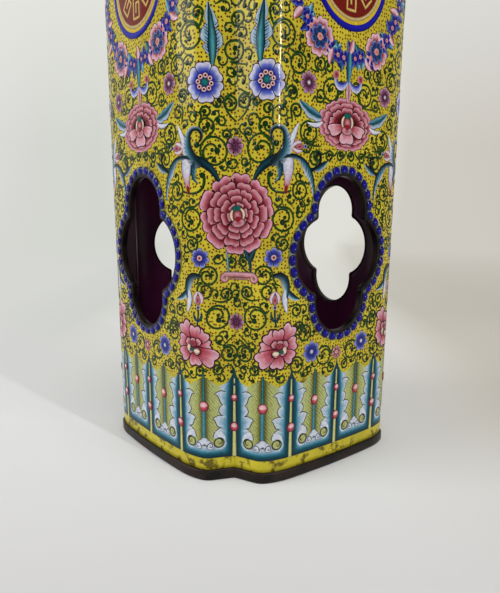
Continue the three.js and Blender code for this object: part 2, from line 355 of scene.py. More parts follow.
def bare_copper_material():
    """Copper gone dark with age: brown and black patches, rubbed brighter here and there."""
    shader = Shader("dark_copper", Metallic=0.6)
    patches = shader.noise(90.0, 6.0, 0.65)
    browns = [(0.38, srgb(17, 13, 12)), (0.72, srgb(58, 42, 34))]
    shader.feed(shader.main, Base_Color=shader.ramp(patches, browns),
                Roughness=shader.ranged(patches, *NOISE_SPAN, 0.3, 0.6))
    shader.relief(patches, 0.4, 0.1)
    return shader.material


PLUM = counter_enamel_material()
COPPER = bare_copper_material()
print("materials:", [m.name for m in bpy.data.materials])

# %% [markdown]
# ## The window outline
#
# A quatrefoil is four circles about two axes, here a tall pair and a wide pair. Where two of them
# cross, the wall keeps a small rounded cusp. Growing the outline for a border adds the growth to
# the lobes' radii and takes it from the cusps' radius, as any offset of arcs does.

# %% Window outline
TALL_RADIUS, TALL_REACH = 13.5, 17.5
WIDE_RADIUS, WIDE_REACH = 15.3, 8.5
CUSP_RADIUS = 1.7
EDGING, BORDER = 0.9, 3.2  # widths of the copper strip and of the bead border


def window_outline(grow=0.0, lobe_points=48, cusp_points=8):
    """Points (u, z) about the window's middle: arc by arc, centre plus radius times the cosine and
    sine of an evenly growing angle, counter-clockwise from the lower end of the right lobe."""
    cusp_radius = max(CUSP_RADIUS - grow, 0.02)
    tall, wide = TALL_RADIUS + grow, WIDE_RADIUS + grow
    apart = np.hypot(TALL_REACH, WIDE_REACH)
    along = ((tall + cusp_radius) ** 2 - (wide + cusp_radius) ** 2 + apart ** 2) / (2 * apart)
    off = np.sqrt((tall + cusp_radius) ** 2 - along ** 2)
    unit = np.array([WIDE_REACH, -TALL_REACH]) / apart
    cusp = np.array([0, TALL_REACH]) + unit * along + np.array([-unit[1], unit[0]]) * off
    top = np.arctan2(cusp[1] - TALL_REACH, cusp[0])
    side = np.arctan2(cusp[1], cusp[0] - WIDE_REACH)
    x, z, pi = cusp[0], cusp[1], np.pi
    arcs = [
        (WIDE_REACH, 0, wide, -side, side, lobe_points),
        (x, z, cusp_radius, side + pi, top + pi, cusp_points),
        (0, TALL_REACH, tall, top, pi - top, lobe_points),
        (-x, z, cusp_radius, -top, -side, cusp_points),
        (-WIDE_REACH, 0, wide, pi - side, pi + side, lobe_points),
        (-x, -z, cusp_radius, side, top, cusp_points),
        (0, -TALL_REACH, tall, pi + top, 2 * pi - top, lobe_points),
        (x, -z, cusp_radius, pi - top, pi - side, cusp_points),
    ]
    points = []
    for cx, cz, radius, start, end, count in arcs:
        angle = np.linspace(start, end, count, endpoint=False)
        points.append(np.stack([cx + radius * np.cos(angle), cz + radius * np.sin(angle)], axis=1))
    return np.concatenate(points)


def window_radius(angle, grow):
    """Distance from the window's middle to its outline in each direction."""
    outline = window_outline(grow)
    turn = np.arctan2(outline[:, 1], outline[:, 0])
    order = np.argsort(turn)
    return np.interp(angle, turn[order], np.hypot(*outline.T)[order], period=2 * np.pi)


print("window", np.ptp(window_outline(), axis=0).round(1), "mm")

# %% [markdown]
# ## The four walls
#
# A plain grid can't follow the window, so each wall has two kinds of grid. Inside a rectangle
# round the window, lines run from the window's outline to the rectangle's edge. Outside it, the
# lines run straight along the wall. Both share the points on the rectangle, and merging them makes
# one sheet. A second sheet one wall thickness further in, and a strip along all open edges, close
# the body.

# %% Grids of one wall
FRAME_HALF = np.array([30.0, 40.0])  # half the rectangle
CELL = 1.0
SIDE_LINES, LOW_LINES, HIGH_LINES = 41, 24, 60


def sheet_lines():
    """Distances of the grid's lines: fine across the bends and the notch, even elsewhere."""
    inner = np.arange(-FRAME_HALF[0], FRAME_HALF[0] + CELL / 2, CELL)
    outer = np.linspace(FRAME_HALF[0], HALF_WALL, SIDE_LINES)[1:]
    u = np.concatenate([-outer[::-1], inner, outer])
    low = np.linspace(FOOT_TOP, WINDOW_Z - FRAME_HALF[1], LOW_LINES)[:-1]
    middle = WINDOW_Z + np.arange(-FRAME_HALF[1], FRAME_HALF[1] + CELL / 2, CELL)
    high = np.linspace(WINDOW_Z + FRAME_HALF[1], WALL_TOP, HIGH_LINES)[1:]
    return u, np.concatenate([low, middle, high])


def straight_grid():
    """Grid points and quads of the wall without those inside the window's rectangle."""
    u, z = sheet_lines()
    uu, zz = np.meshgrid(u, z, indexing="ij")
    points = np.stack([uu.ravel(), zz.ravel()], axis=1)
    quads = grid_faces(len(u), len(z))
    middle = points[quads].mean(axis=1)
    off = np.abs(middle - (0.0, WINDOW_Z))
    return points, quads[(off >= FRAME_HALF).any(axis=1)]


# %% Grid round the window
def window_grid(rows=10):
    """Each point of the rectangle's edge is joined to the outline point in the same direction, and
    the rows share out the way between them. The hole's edge lies under the middle of the edging."""
    a = np.arange(-FRAME_HALF[0], FRAME_HALF[0], CELL)
    b = np.arange(-FRAME_HALF[1], FRAME_HALF[1], CELL)
    w, h = FRAME_HALF
    edge = np.concatenate([
        np.stack([a, np.full(len(a), -h)], axis=1),
        np.stack([np.full(len(b), w), b], axis=1),
        np.stack([-a, np.full(len(a), h)], axis=1),
        np.stack([np.full(len(b), -w), -b], axis=1),
    ])
    angle = np.arctan2(edge[:, 1], edge[:, 0])
    radius = window_radius(angle, EDGING / 2)
    hole = np.stack([radius * np.cos(angle), radius * np.sin(angle)], axis=1)
    share = np.linspace(0, 1, rows)[:, None, None]
    points = (hole * (1 - share) + edge * share) + [0, WINDOW_Z]
    quads = grid_faces(rows, len(edge), closed_columns=True)
    return points.reshape(-1, 2), quads


# %% One sheet from both grids
def merge_points(points, faces):
    """Points that agree to a thousandth become one."""
    key, first, where = np.unique(points.round(3), axis=0, return_index=True, return_inverse=True)
    return points[first], where.ravel()[faces]


def wall_sheet():
    """Points (u, z) and quads of one pierced wall."""
    grid_points, grid_quads = straight_grid()
    ring_points, ring_quads = window_grid()
    points = np.concatenate([grid_points, ring_points])
    faces = np.concatenate([grid_quads, ring_quads + len(grid_points)])
    points, faces = merge_points(points, faces)
    used = np.unique(faces)
    renumber = np.zeros(len(points), int)
    renumber[used] = np.arange(len(used))
    return points[used], renumber[faces]


def open_edges(faces):
    """Edges that only one face uses, in that face's direction."""
    edges = np.concatenate([faces[:, [i, (i + 1) % 4]] for i in range(4)])
    key, count = np.unique(np.sort(edges, axis=1), axis=0, return_counts=True)
    lonely = {tuple(k) for k in key[count == 1]}
    return np.array([e for e in edges if tuple(sorted(e)) in lonely])


SHEET_POINTS, SHEET_FACES = wall_sheet()
print("one wall's sheet:", len(SHEET_FACES), "quads,", len(open_edges(SHEET_FACES)), "open edges")

# %% [markdown]
# ## Colours of the ground
#
# The ground is yellow from the band over the foot to the band under the mouth. The dots stop at
# the bands, so the attribute's alpha says how strongly they show.

# %% Build the walls
YELLOW = srgb(200, 186, 47)
DOTS_FROM = 41.0  # the dots begin behind the lappets' tips
UV_SCALE = 0.01  # the ground shader counts in 100 mm
WALL_NAMES = ["right", "back", "left", "front"]


def ground_paint(z):
    """Yellow everywhere, with dots only between the two lappet bands."""
    dots = (z > DOTS_FROM) & (z < HEIGHT - DOTS_FROM)
    return np.column_stack([np.tile(YELLOW, (len(z), 1)), dots.astype(float)])


def build_wall(index, name):
    """The outer sheet, the same sheet one wall thickness further in and turned to face inwards,
    and a strip of quads along their open edges."""
    u, z = SHEET_POINTS.T
    s = u + (index + 0.5) * WALL
    count = len(u)
    outer = lay_on_wall(s, z)
    inner = lay_on_wall(s, z, -WALL_THICKNESS)
    rim = open_edges(SHEET_FACES)
    strip = np.column_stack([rim[:, 1], rim[:, 0], rim[:, 0] + count, rim[:, 1] + count])
    faces = np.concatenate([SHEET_FACES, SHEET_FACES[:, ::-1] + count, strip])
    paint = ground_paint(np.concatenate([z, z]))
    piece = make_mesh("wall_sheet_" + name, np.concatenate([outer, inner]), faces, paint)
    piece.data.materials.append(GROUND)
    piece.data.materials.append(PLUM)
    slots = np.zeros(len(faces), np.int32)
    slots[len(SHEET_FACES):] = 1
    piece.data.polygons.foreach_set("material_index", slots)
    drawing = np.concatenate([np.column_stack([s, z])] * 2) * UV_SCALE
    corners = piece.data.uv_layers.new(name="drawing")
    corners.data.foreach_set("uv", drawing[faces.ravel()].astype(np.float32).ravel())
    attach(piece, "root")
    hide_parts("wall_" + name)
    return piece


for wall_index, wall_name in enumerate(WALL_NAMES):
    build_wall(wall_index, wall_name)
print("walls built")

# %% [markdown]
# ## Brush work
#
# The painter works with a few strokes: a line with a full end, a petal, a leaf that fades from dark
# to white, and a drop of thick enamel. Each is a small grid in the drawing's plane, with a height
# that makes it stand up a tenth of a millimetre or two. A `Drawing` collects the grids and lays
# them on the four walls as four pieces.


# %% A drawing and its patches
class Drawing:
    """Grids of points (s, z, height) with a colour for each point, kept by the wall they lie on."""

    def __init__(self, name):
        self.name = name
        self.points, self.faces, self.paints, self.walls = [], [], [], []

    def patch(self, s, z, height, paint, closed=False, hatch=0.0):
        """Adds one grid. Its faces are turned outwards by the sign of its area in the drawing."""
        faces = grid_faces(*s.shape, closed_columns=closed)
        flat = np.stack([s.ravel(), z.ravel()], axis=1)
        a, b, c = flat[faces[:, 0]], flat[faces[:, 1]], flat[faces[:, 2]]
        if np.sum((b - a)[:, 0] * (c - a)[:, 1] - (b - a)[:, 1] * (c - a)[:, 0]) < 0:
            faces = faces[:, ::-1]
        height = np.broadcast_to(height, s.shape).ravel()
        paint = np.broadcast_to(paint, s.shape + (3,)).reshape(-1, 3)
        plain = 1 - np.broadcast_to(hatch, s.shape).ravel()
        self.points.append(np.column_stack([flat, height]))
        self.faces.append(faces)
        self.paints.append(np.column_stack([paint, plain]))
        self.walls.append(int(np.floor(s.mean() / WALL)) % 4)

    def finish(self, slot="yellow_enamel", stand_for=None):
        """Lays the drawing on the walls, one piece for each wall that it reaches."""
        for index, name in enumerate(WALL_NAMES):
            mine = [i for i, wall in enumerate(self.walls) if wall == index]
            if not mine:
                continue
            first = np.cumsum([0] + [len(self.points[i]) for i in mine])
            faces = np.concatenate([self.faces[i] + k for i, k in zip(mine, first)])
            points = np.concatenate([self.points[i] for i in mine])
            paints = np.concatenate([self.paints[i] for i in mine])
            piece = make_mesh(self.name + "_" + name, lay_on_wall(*points.T), faces, paints)
            piece.data.materials.append(PAINT)
            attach(piece, "root")
            if stand_for:
                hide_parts(stand_for + "_" + name)
        print(self.name, sum(len(f) for f in self.faces), "quads")


# %% A pen for motifs
class Pen:
    """A drawing, and the way in which a motif's own x and y are put into it."""

    def __init__(self, drawing, put=lambda x, y: (x, y)):
        self.drawing, self.put = drawing, put

    def at(self, x, y, turn=0.0, size=1.0, mirror=1):
        """A pen for a motif within this one: mirror, turn in degrees, enlarge, move."""
        cos, sin = np.cos(np.radians(turn)) * size, np.sin(np.radians(turn)) * size
        return Pen(self.drawing, lambda a, b: self.put(
            x + mirror * (cos * a - sin * b), y + sin * a + cos * b))

    def patch(self, x, y, height, paint, **how):
        """Adds a grid of the motif's own points to the drawing."""
        self.drawing.patch(*self.put(x, y), height, paint, **how)


# %% Colours across a stroke
def shade(stops, position):
    """Colours between the stops [(position, colour), ...], mixed evenly."""
    where = [stop[0] for stop in stops]
    return np.stack([np.interp(position, where, [stop[1][i] for stop in stops]) for i in range(3)],
                    axis=-1)


def plain(colour):
    """Stops for one colour from edge to edge."""
    return [(-1, colour), (1, colour)]


def turned(stops):
    """The same stops from the other edge."""
    return [(-where, colour) for where, colour in stops[::-1]]


def rimmed(colour, line, share=0.8):
    """Stops for one colour over a share of the way, which then turns into its outline."""
    return [(0, colour), (share, colour), (1, line)]


def fade(*rows):
    """Stops from rows of (position, colour) or (position, red, green, blue)."""
    return [(where, colour[0] if len(colour) == 1 else srgb(*colour)) for where, *colour in rows]


# %% Strokes
def along_path(path):
    """Unit tangent and left normal of a path, from the differences between its points."""
    tangent = np.gradient(path, axis=0)
    tangent /= np.maximum(np.hypot(*tangent.T), 1e-9)[:, None]
    return tangent, np.column_stack([-tangent[:, 1], tangent[:, 0]])


def stroke(pen, path, width, stops, height=0.06, base=0.01, columns=(-1, -0.4, 0.4, 1)):
    """A brush line: the path plus the left normal times the half width, coloured across."""
    tangent, normal = along_path(path)
    across = np.array(columns, float)
    half = np.broadcast_to(width, len(path))[:, None] / 2
    x = path[:, :1] + normal[:, :1] * half * across
    y = path[:, 1:] + normal[:, 1:] * half * across
    rise = base + height * (1 - across ** 2)
    pen.patch(x, y, np.broadcast_to(rise, x.shape), shade(stops, across)[None])


def drop(pen, x, y, radius, stops, height=0.1, base=0.01, oval=(1.0, 1.0), sides=12, rings=4):
    """A drop of enamel: radius times the cosine and sine, with a dome's height."""
    share = np.linspace(0, 1, rings)[:, None]
    angle = np.linspace(0, 2 * np.pi, sides, endpoint=False)[None, :]
    px = x + radius * oval[0] * share * np.cos(angle)
    py = y + radius * oval[1] * share * np.sin(angle)
    rise = base + height * np.sqrt(1 - share ** 2) + 0 * angle
    pen.patch(px, py, rise, shade(stops, share + 0 * angle), closed=True)


# %% Paths
def bezier(*points, count=16):
    """A smooth path from three or four handles, each weighed by its Bernstein share."""
    t = np.linspace(0, 1, count)[:, None]
    r = 1 - t
    p = np.array(points, float)
    if len(p) == 3:
        return r ** 2 * p[0] + 2 * t * r * p[1] + t ** 2 * p[2]
    return r ** 3 * p[0] + 3 * t * r ** 2 * p[1] + 3 * t ** 2 * r * p[2] + t ** 3 * p[3]


def curl(x, y, radius, start, turns, tail=None, close=0.74):
    """A scroll: it keeps its radius at first and draws in over its last two thirds of a turn, and
    a tail runs in smoothly."""
    count = max(int(abs(turns) * 24), 8)
    t = np.linspace(0, 1, count)
    angle = np.radians(start) + 2 * np.pi * turns * t
    hold = max(1 - 0.66 / abs(turns), 0.0)
    reach = radius * (1 - close * (np.clip(t - hold, 0, 1) / (1 - hold)) ** 1.4)
    path = np.column_stack([x + reach * np.cos(angle), y + reach * np.sin(angle)])
    if tail is None:
        return path
    heading = path[0] - path[1]
    heading /= np.hypot(*heading)
    tail = np.array(tail, float)
    handle = path[0] + heading * np.hypot(*(tail - path[0])) * 0.5
    return np.concatenate([bezier(tail, handle, path[0], count=9)[:-1], path])


# %% [markdown]
# ## Scrolls
#
# Green tendrils fill the ground. Each runs into a circle and ends in a fat bud near the circle's
# middle. The line is two dark edges with a fresh green between them.

# %% Scroll strokes
GREEN_DARK = srgb(7, 16, 3)
GREEN = srgb(38, 82, 16)
BUD_GREEN = srgb(5, 50, 14)
SCROLL = fade((-1, GREEN_DARK), (-0.25, 10, 34, 12), (0.2, GREEN), (0.6, 48, 94, 30),
              (1, 16, 36, 12))
BUD = fade((0, BUD_GREEN), (0.5, BUD_GREEN), (0.72, 20, 76, 30), (1, GREEN_DARK))
LINE = 0.88
vine_paths = []


def bud(pen, path, radius, leaves=False):
    """A fat drop on the end of a path. On a large scroll two smaller ones stand beside it."""
    tip = path[-1]
    ahead = tip - path[-3]
    ahead /= np.hypot(*ahead)
    drop(pen, *(tip + ahead * radius * (0.7 if leaves else 0.3)),
         radius * (0.85 if leaves else 1.0), BUD, height=0.08, base=0.02, sides=10, rings=3)
    if leaves:
        beside = np.array([-ahead[1], ahead[0]]) * radius * 1.15
        for way in (-1, 1):
            drop(pen, *(tip + way * beside - ahead * radius * 0.1), radius * 0.56, BUD,
                 height=0.07, base=0.02, sides=9, rings=3)


def scroll(pen, path):
    """A tendril with its bud. Its path is remembered, because shoots grow from it later."""
    share = np.linspace(0, 1, len(path))
    taper = np.interp(share, [0, 0.15, 0.8, 1], [0.6, 1, 1, 0.9])
    stroke(pen, path, LINE * taper, SCROLL, height=0.04)
    span = np.ptp(path, axis=0).max()
    bud(pen, path, np.clip(span * 0.13, 0.85, 1.35), leaves=span > 6.5)
    vine_paths.append(np.column_stack(pen.put(*path.T)))


# %% [markdown]
# ## Petals and leaves
#
# A peony petal is drawn in polar form about the flower's heart: a fan whose outer edge is almost
# straight, with rounded corners and a small dent in the middle. Its colour runs from deep rose
# where it comes out from under the next petal to pale pink, with a thin dark line round the edge.
# Leaves are strokes that swell, with scalloped edges where the plant has them.


# %% Petals
def petal(pen, angle, spread, base, tip, stops, outline, line=0.35, dent=0.05, layer=0.1,
          corner=4.0, oval=(1.0, 1.0), columns=9, inked=0.0):
    """Polar fan: radius = base + (edge - base) * v at angle + u * spread, where the edge drops to
    the base at u = -1 and 1 and dips in the middle. A line as wide as inked follows the edge."""
    def edge_at(u):
        """The outer edge's distance from the heart at a share u of the spread."""
        dip = dent * np.exp(-(u / 0.22) ** 2)
        return (base + (tip - base) * (1 - np.abs(u) ** corner) ** 0.5) * (1 - dip)

    side = 1 - min(line / max(spread * (base + tip) / 2, 0.1), 0.45)
    u = np.concatenate([[-1], np.linspace(-side, side, columns), [1]])[None, :]
    rim = 1 - min(line / max(tip - base, 0.1), 0.5)
    v = np.array([0, 0.3, 0.55, 0.8 * rim, rim, rim + 0.01, 1.0])[:, None]
    radius = base + (edge_at(u) - base) * v
    turn = angle + u * spread
    x, y = oval[0] * radius * np.cos(turn), oval[1] * radius * np.sin(turn)
    paint = shade(stops, v + 0 * u)
    dark = (np.abs(u) > side + 1e-6) | (v > rim + 0.005)
    paint = np.where(dark[..., None], outline, paint)
    rise = layer + 0.07 * (1 - u ** 2) * np.sin(np.pi * np.clip(v, 0, 1))
    pen.patch(x, y, rise, paint)
    if inked:
        u = np.sin(np.linspace(-np.pi / 2, np.pi / 2, 25))
        turn = angle + u * spread
        path = np.column_stack([oval[0] * edge_at(u) * np.cos(turn),
                                oval[1] * edge_at(u) * np.sin(turn)])
        stroke(pen, path, inked, plain(outline), height=0, base=layer + 0.012, columns=(-1, 1))


# %% Leaves
TEAL_INK = srgb(2, 16, 26)


def leaf(pen, path, left, right, stops, layer=0.08, scallops=0, dip=0.3, ink=None, blunt=0.7,
         lefts=None, rights=None, inked=(0, 0), tint=TEAL_INK, line=0.26):
    """A leaf along its vein: the left and right widths swell as a root of the sine, or follow the
    shares in lefts and rights, and both edges may be scalloped. Its colour runs from the left edge
    at -1 to the right edge at 1, and inked gives the shares of the tint from base to tip. The line
    is the width of the ink along the edges."""
    t = np.linspace(0, 1, len(path))[:, None]
    tangent, normal = along_path(path)
    low = 1 - min(line / (left * max(lefts or (1,))), 0.4)
    high = 1 - min(line / (right * max(rights or (1,))), 0.4)
    across = np.array([-1, -low, 0.05 - low, -low / 2, -0.15, 0.15, high / 2, high - 0.05, high,
                       1.0])[None, :]
    swell = np.sin(np.pi * t ** 0.85) ** blunt
    if lefts is not None:
        spread = [np.interp(t, np.linspace(0, 1, len(shares)), shares)
                  for shares in (lefts, rights)]
        swell = np.where(across < 0, spread[0], spread[1])
    wave = 1.0
    if scallops:
        beat = np.abs(np.sin(np.pi * (scallops * t + 0.15 * np.sign(across))))
        wave = 1 - dip * (1 - beat) ** 1.5
    reach = np.where(across < 0, left, right) * swell * wave * across
    x = path[:, :1] + normal[:, :1] * reach
    y = path[:, 1:] + normal[:, 1:] * reach
    dark = np.interp(t, np.linspace(0, 1, len(inked)), inked)[..., None]
    paint = shade(stops, across) * (1 - dark) + tint * dark
    if ink is not None:
        edge = np.broadcast_to((across < 0.01 - low) | (across > high - 0.01), x.shape)
        paint = np.where(edge[..., None], ink, paint)
    rise = layer + 0.05 * (1 - across ** 2) + 0 * t
    pen.patch(x, y, rise, paint)


def ticks(pen, path, side, near, far, count, start=0.1, stop=0.9, layer=0.16, lean=1.2):
    """Fine ink lines on one side of a vein (-1 right, 1 left). Each starts at a distance near from
    it and ends at a distance far, further along the leaf by the lean."""
    tangent, normal = along_path(path)
    for share in np.linspace(start, stop, count):
        i = int(share * (len(path) - 1))
        first = path[i] + normal[i] * side * near
        last = path[i] + normal[i] * side * far + tangent[i] * lean
        line = first + (last - first) * np.linspace(0, 1, 4)[:, None]
        stroke(pen, line, np.array([0.3, 0.26, 0.2, 0.08]), plain(TEAL_INK), height=0.02,
               base=layer, columns=(-1, 1))


# %% [markdown]
# ## Flowers
#
# The big peony is five rings of petals round a small cup with a teal cap. The same petals, squeezed
# into an oval, make the peony over a window. Small flowers are one ring of petals round an eye.

# %% Flower colours
ROSE_DEEP, ROSE, ROSE_PALE = srgb(108, 18, 30), srgb(162, 68, 82), srgb(209, 150, 160)
ROSE_LINE = srgb(66, 6, 18)
ROSE_STOPS = [(0, ROSE_DEEP), (0.3, ROSE_DEEP), (0.52, ROSE), (0.8, ROSE_PALE), (1, ROSE_PALE)]
FOLD_STOPS = fade((0, ROSE_DEEP), (0.3, 160, 54, 68), (0.6, 206, 132, 144), (0.85, 224, 178, 188),
                  (1, 220, 172, 186))
CREAM, TEAL_CAP, CRIMSON = srgb(232, 208, 180), srgb(8, 92, 84), srgb(140, 24, 34)
BLUE_DEEP, BLUE, BLUE_PALE = srgb(20, 24, 116), srgb(88, 104, 190), srgb(182, 184, 212)
BLUE_STOPS = fade((0, BLUE_DEEP), (0.36, 40, 52, 158), (0.54, BLUE), (0.72, BLUE_PALE),
                  (1, 214, 206, 220))
BLUE_LINE = srgb(26, 18, 50)
SMALL_BLUE = fade((0, BLUE_DEEP), (0.5, 34, 42, 140), (0.72, 84, 96, 182), (1, 186, 186, 214))
PURPLE_STOPS = fade((0, 44, 4, 32), (0.42, 92, 30, 72), (0.72, 160, 104, 136), (1, 206, 170, 190))
PURPLE_LINE = srgb(58, 16, 40)
OUTER_STOPS = fade((0, ROSE_DEEP), (0.36, ROSE_DEEP), (0.6, 188, 98, 114), (0.84, 220, 164, 180),
                   (1, 216, 166, 188))


# %% Big peony
PEONY_RINGS = [(10, 10.6, 14.6), (10, 8.2, 11.9), (9, 5.9, 9.5), (7, 3.7, 7.1), (6, 1.8, 4.7)]


def peony_heart(pen, size=1.0):
    """The cup in the middle: cream petals that bend round a crimson throat, under a teal cap."""
    drop(pen, 0, -3.0 * size, 2.7 * size,
         [(0, ROSE), (0.75, ROSE_PALE), (1, ROSE_LINE)], base=0.34, oval=(1.15, 0.6))
    drop(pen, 0, -0.2 * size, 2.3 * size, [(0, ROSE_PALE), (0.6, ROSE), (1, ROSE_LINE)], base=0.35)
    drop(pen, 0, -1.6 * size, 1.5 * size, rimmed(CRIMSON, ROSE_LINE), base=0.37)
    for side in (-1, 1):
        turn = np.radians(90 + side * np.linspace(36, 128, 12))
        arc = size * np.column_stack([2.7 * np.cos(turn), 2.6 * np.sin(turn) - 0.2])
        stroke(pen, arc, 1.35 * size * np.sin(np.linspace(0.4, np.pi - 0.4, 12)),
               [(-1, ROSE_LINE), (-0.6, CREAM), (0.6, CREAM), (1, ROSE_LINE)], base=0.39)
    drop(pen, 0, 2.2 * size, 2.3 * size,
         rimmed(TEAL_CAP, ROSE_LINE, 0.85), base=0.4, oval=(1.0, 0.5))


def peony(pen, rng, size=1.0):
    """Rings of petals from the outside in over a deep rose disc, each ring turned half a petal and
    laid a little higher."""
    drop(pen, 0, 0, 12.6 * size, plain(ROSE_LINE), height=0.01, base=0.04, sides=48, rings=24)
    for ring, (count, base, tip) in enumerate(PEONY_RINGS):
        first = rng.uniform(0, 0.25) + ring * np.pi / count
        for i in range(count):
            angle = first + 2 * np.pi * (i + rng.uniform(-0.05, 0.05)) / count
            reach = tip * size * rng.uniform(0.97, 1.02)
            petal(pen, angle, np.pi / count * 1.03, base * size * 0.92, reach,
                  OUTER_STOPS if ring == 0 else ROSE_STOPS, ROSE_LINE, line=0.5,
                  dent=rng.uniform(0.0, 0.08), layer=0.07 + 0.035 * ring, corner=6.5)
    peony_heart(pen, size)


# %% Folded peony
FOLD_BACK = [(90, 24, 5.0, 9.4), (46, 22, 5.0, 9.2), (134, 22, 5.0, 9.2), (8, 20, 5.0, 9.6),
             (172, 20, 5.0, 9.6)]
FOLD_FRONT = [(270, 34, 0.5, 10.6), (206, 30, 0.5, 10.0), (334, 30, 0.5, 10.0)]


def folded_peony(pen, rng, size=1.1, oval=(1.0, 0.63)):
    """The peony over a window: two rings of narrow petals, small ones folded behind the heart and
    three broad pale ones in front of it."""
    drop(pen, 0, 0, 12.0 * size, plain(ROSE_LINE), height=0.01, base=0.04, oval=oval, sides=32,
         rings=8)
    for ring, (count, base, tip) in enumerate([(11, 10.6, 14.2), (10, 7.6, 12.0)]):
        for i in range(count):
            angle = 2 * np.pi * (i + 0.5 * ring + rng.uniform(-0.05, 0.05)) / count
            reach = tip * size * rng.uniform(0.97, 1.02)
            petal(pen, angle, np.pi / count * 1.03, base * size * 0.92, reach,
                  (OUTER_STOPS, ROSE_STOPS)[ring], ROSE_LINE, line=0.45, layer=0.07 + 0.035 * ring,
                  corner=6.0, oval=oval)
    for layer, petals, stops in ((0.14, FOLD_BACK, ROSE_STOPS), (0.26, FOLD_FRONT, FOLD_STOPS)):
        for i, (degrees, spread, base, tip) in enumerate(petals):
            reach = tip * size * rng.uniform(0.97, 1.03)
            petal(pen, np.radians(degrees), np.radians(spread), base * size, reach, stops,
                  ROSE_LINE, line=0.45, dent=0.08, layer=layer + 0.02 * i, oval=oval, inked=0.32)
    peony_heart(pen.at(0, 1.0), 1.05)


# %% Small flowers
EYE_BEADS = fade((0, 64, 2, 10), (0.48, 64, 2, 10), (0.6, 236, 196, 188), (0.88, 222, 172, 168),
                 (1, 70, 16, 40))


def small_flower(pen, radius, count, stops, outline, eye, line=0.22):
    """One ring of petals over a dark disc, round an eye of two drops."""
    drop(pen, 0, 0, radius * 0.8, plain(outline), height=0.01, base=0.07, rings=3)
    for i in range(count):
        angle = 2 * np.pi * i / count + np.pi / 2
        petal(pen, angle, np.pi / count * 1.04, radius * 0.15, radius, stops, outline,
              line=line, dent=0.0, corner=4.6, columns=5)
    drop(pen, 0, 0, radius * 0.27, [(0, eye[0]), (0.55, eye[0]), (0.7, eye[1]), (1, eye[1])],
         base=0.16, sides=9)


def blue_flower(pen, radius=7.0):
    """Six broad petals with pale two-lobed edges round a ring of rose-coloured beads and a teal
    eye."""
    for i in range(6):
        angle = 2 * np.pi * (i + 0.5) / 6
        petal(pen, angle, np.pi / 6 * 1.06, radius * 0.3, radius, BLUE_STOPS, BLUE_LINE,
              line=0.26, dent=0.08, layer=0.1 + 0.02 * (i % 2), corner=11.0, inked=0.26)
    drop(pen, 0, 0, radius * 0.46, plain(BLUE_DEEP), base=0.15, height=0.03, sides=20)
    for i in range(8):
        angle = 2 * np.pi * i / 8 + 0.2
        x, y = radius * 0.335 * np.cos(angle), radius * 0.335 * np.sin(angle)
        drop(pen, x, y, radius * 0.128, EYE_BEADS, base=0.18, rings=6)
    drop(pen, 0, 0, radius * 0.21, fade((0, 24, 124, 124), (0.8, 8, 88, 90), (1, BLUE_LINE)),
         base=0.18, height=0.12)


print("brush work ready")

# %% [markdown]
# ## Sprays of acanthus
#
# Long leaves in teal spring from the peonies. Each is a leaf along a curve, almost black where the
# brush began and white at the scalloped edge.

# %% Acanthus leaves
TEAL, TEAL_MID = srgb(10, 64, 80), srgb(48, 118, 138)
PALE, WHITE = srgb(142, 178, 200), srgb(212, 214, 226)
TEAL_STOPS = fade((-1, TEAL_INK), (-0.4, 4, 30, 42), (0.0, TEAL), (0.3, TEAL_MID), (0.62, PALE),
                  (1, WHITE))
TURNED_STOPS = turned(TEAL_STOPS)
STEM_STOPS = fade((-1, TEAL_INK), (-0.3, 6, 40, 52), (0.3, 22, 84, 98), (0.6, 6, 40, 52),
                  (1, TEAL_INK))
WING_STOPS = fade((-1, 186, 196, 214), (-0.6, PALE), (-0.35, 90, 146, 170), (0.35, 90, 146, 170),
                  (0.6, PALE), (1, 186, 196, 214))
BLADE_STOPS = fade((-1, TEAL_INK), (-0.55, 8, 62, 76), (-0.1, 64, 150, 160), (0.3, 88, 166, 174),
                   (0.5, 10, 66, 80), (1, TEAL_INK))
WHITE_STOPS = fade((-1, 150, 168, 190), (-0.3, WHITE), (0.4, 224, 222, 232), (1, 186, 194, 212))
GREY_INK = srgb(60, 76, 88)
BUD_ROSE = [(0, ROSE_DEEP), (0.45, ROSE), (0.85, ROSE_PALE), (1, ROSE_LINE)]
BLUE_BEAD = fade((0, 20, 14, 116), (0.55, 20, 14, 100), (0.7, 186, 186, 212), (1, 196, 196, 218))


def blade_leaf(pen, path, width=4.5):
    """A leaf that stands up: pale scalloped wings behind a teal blade that goes dark to its tip."""
    leaf(pen, path, width, width * 0.92, WING_STOPS, scallops=3, dip=0.42, ink=GREY_INK,
         lefts=(0.1, 0.3, 0.95, 1.0, 0.7, 0.4, 0.1), rights=(0.1, 0.35, 1.0, 0.95, 0.75, 0.4, 0.1))
    leaf(pen, path, width * 0.36, width * 0.36, BLADE_STOPS, layer=0.12,
         inked=(0.1, 0, 0, 0.3, 0.7, 0.9), lefts=(0.5, 0.8, 1.1, 0.9, 0.7, 0.5, 0.1),
         rights=(0.5, 0.8, 1.0, 1.1, 0.7, 0.5, 0.1))
    for side in (-1, 1):
        ticks(pen, path, side, width * 0.3, width * 0.62, 9, start=0.24, stop=0.68)


# %% Acanthus spray
def side_bud(pen, x, y, turn, size=1.0):
    """A rose-coloured bud between two pale sepals, with a blue bead in front of it."""
    at = pen.at(x, y, turn, size)
    for way in (-1, 1):
        leaf(at, bezier((0, 3.0), (way * 2.4, 0.6), (way * 1.2, -1.8), count=10), 0.9, 0.9,
             [(-1, ROSE_PALE), (0, WHITE), (1, ROSE_PALE)], layer=0.09, ink=ROSE)
    drop(at, 0, -0.4, 1.7, BUD_ROSE, base=0.12, oval=(0.62, 1.25), sides=10)
    drop(at, 0, -3.2, 0.85, BLUE_BEAD, base=0.1, sides=9, rings=3)


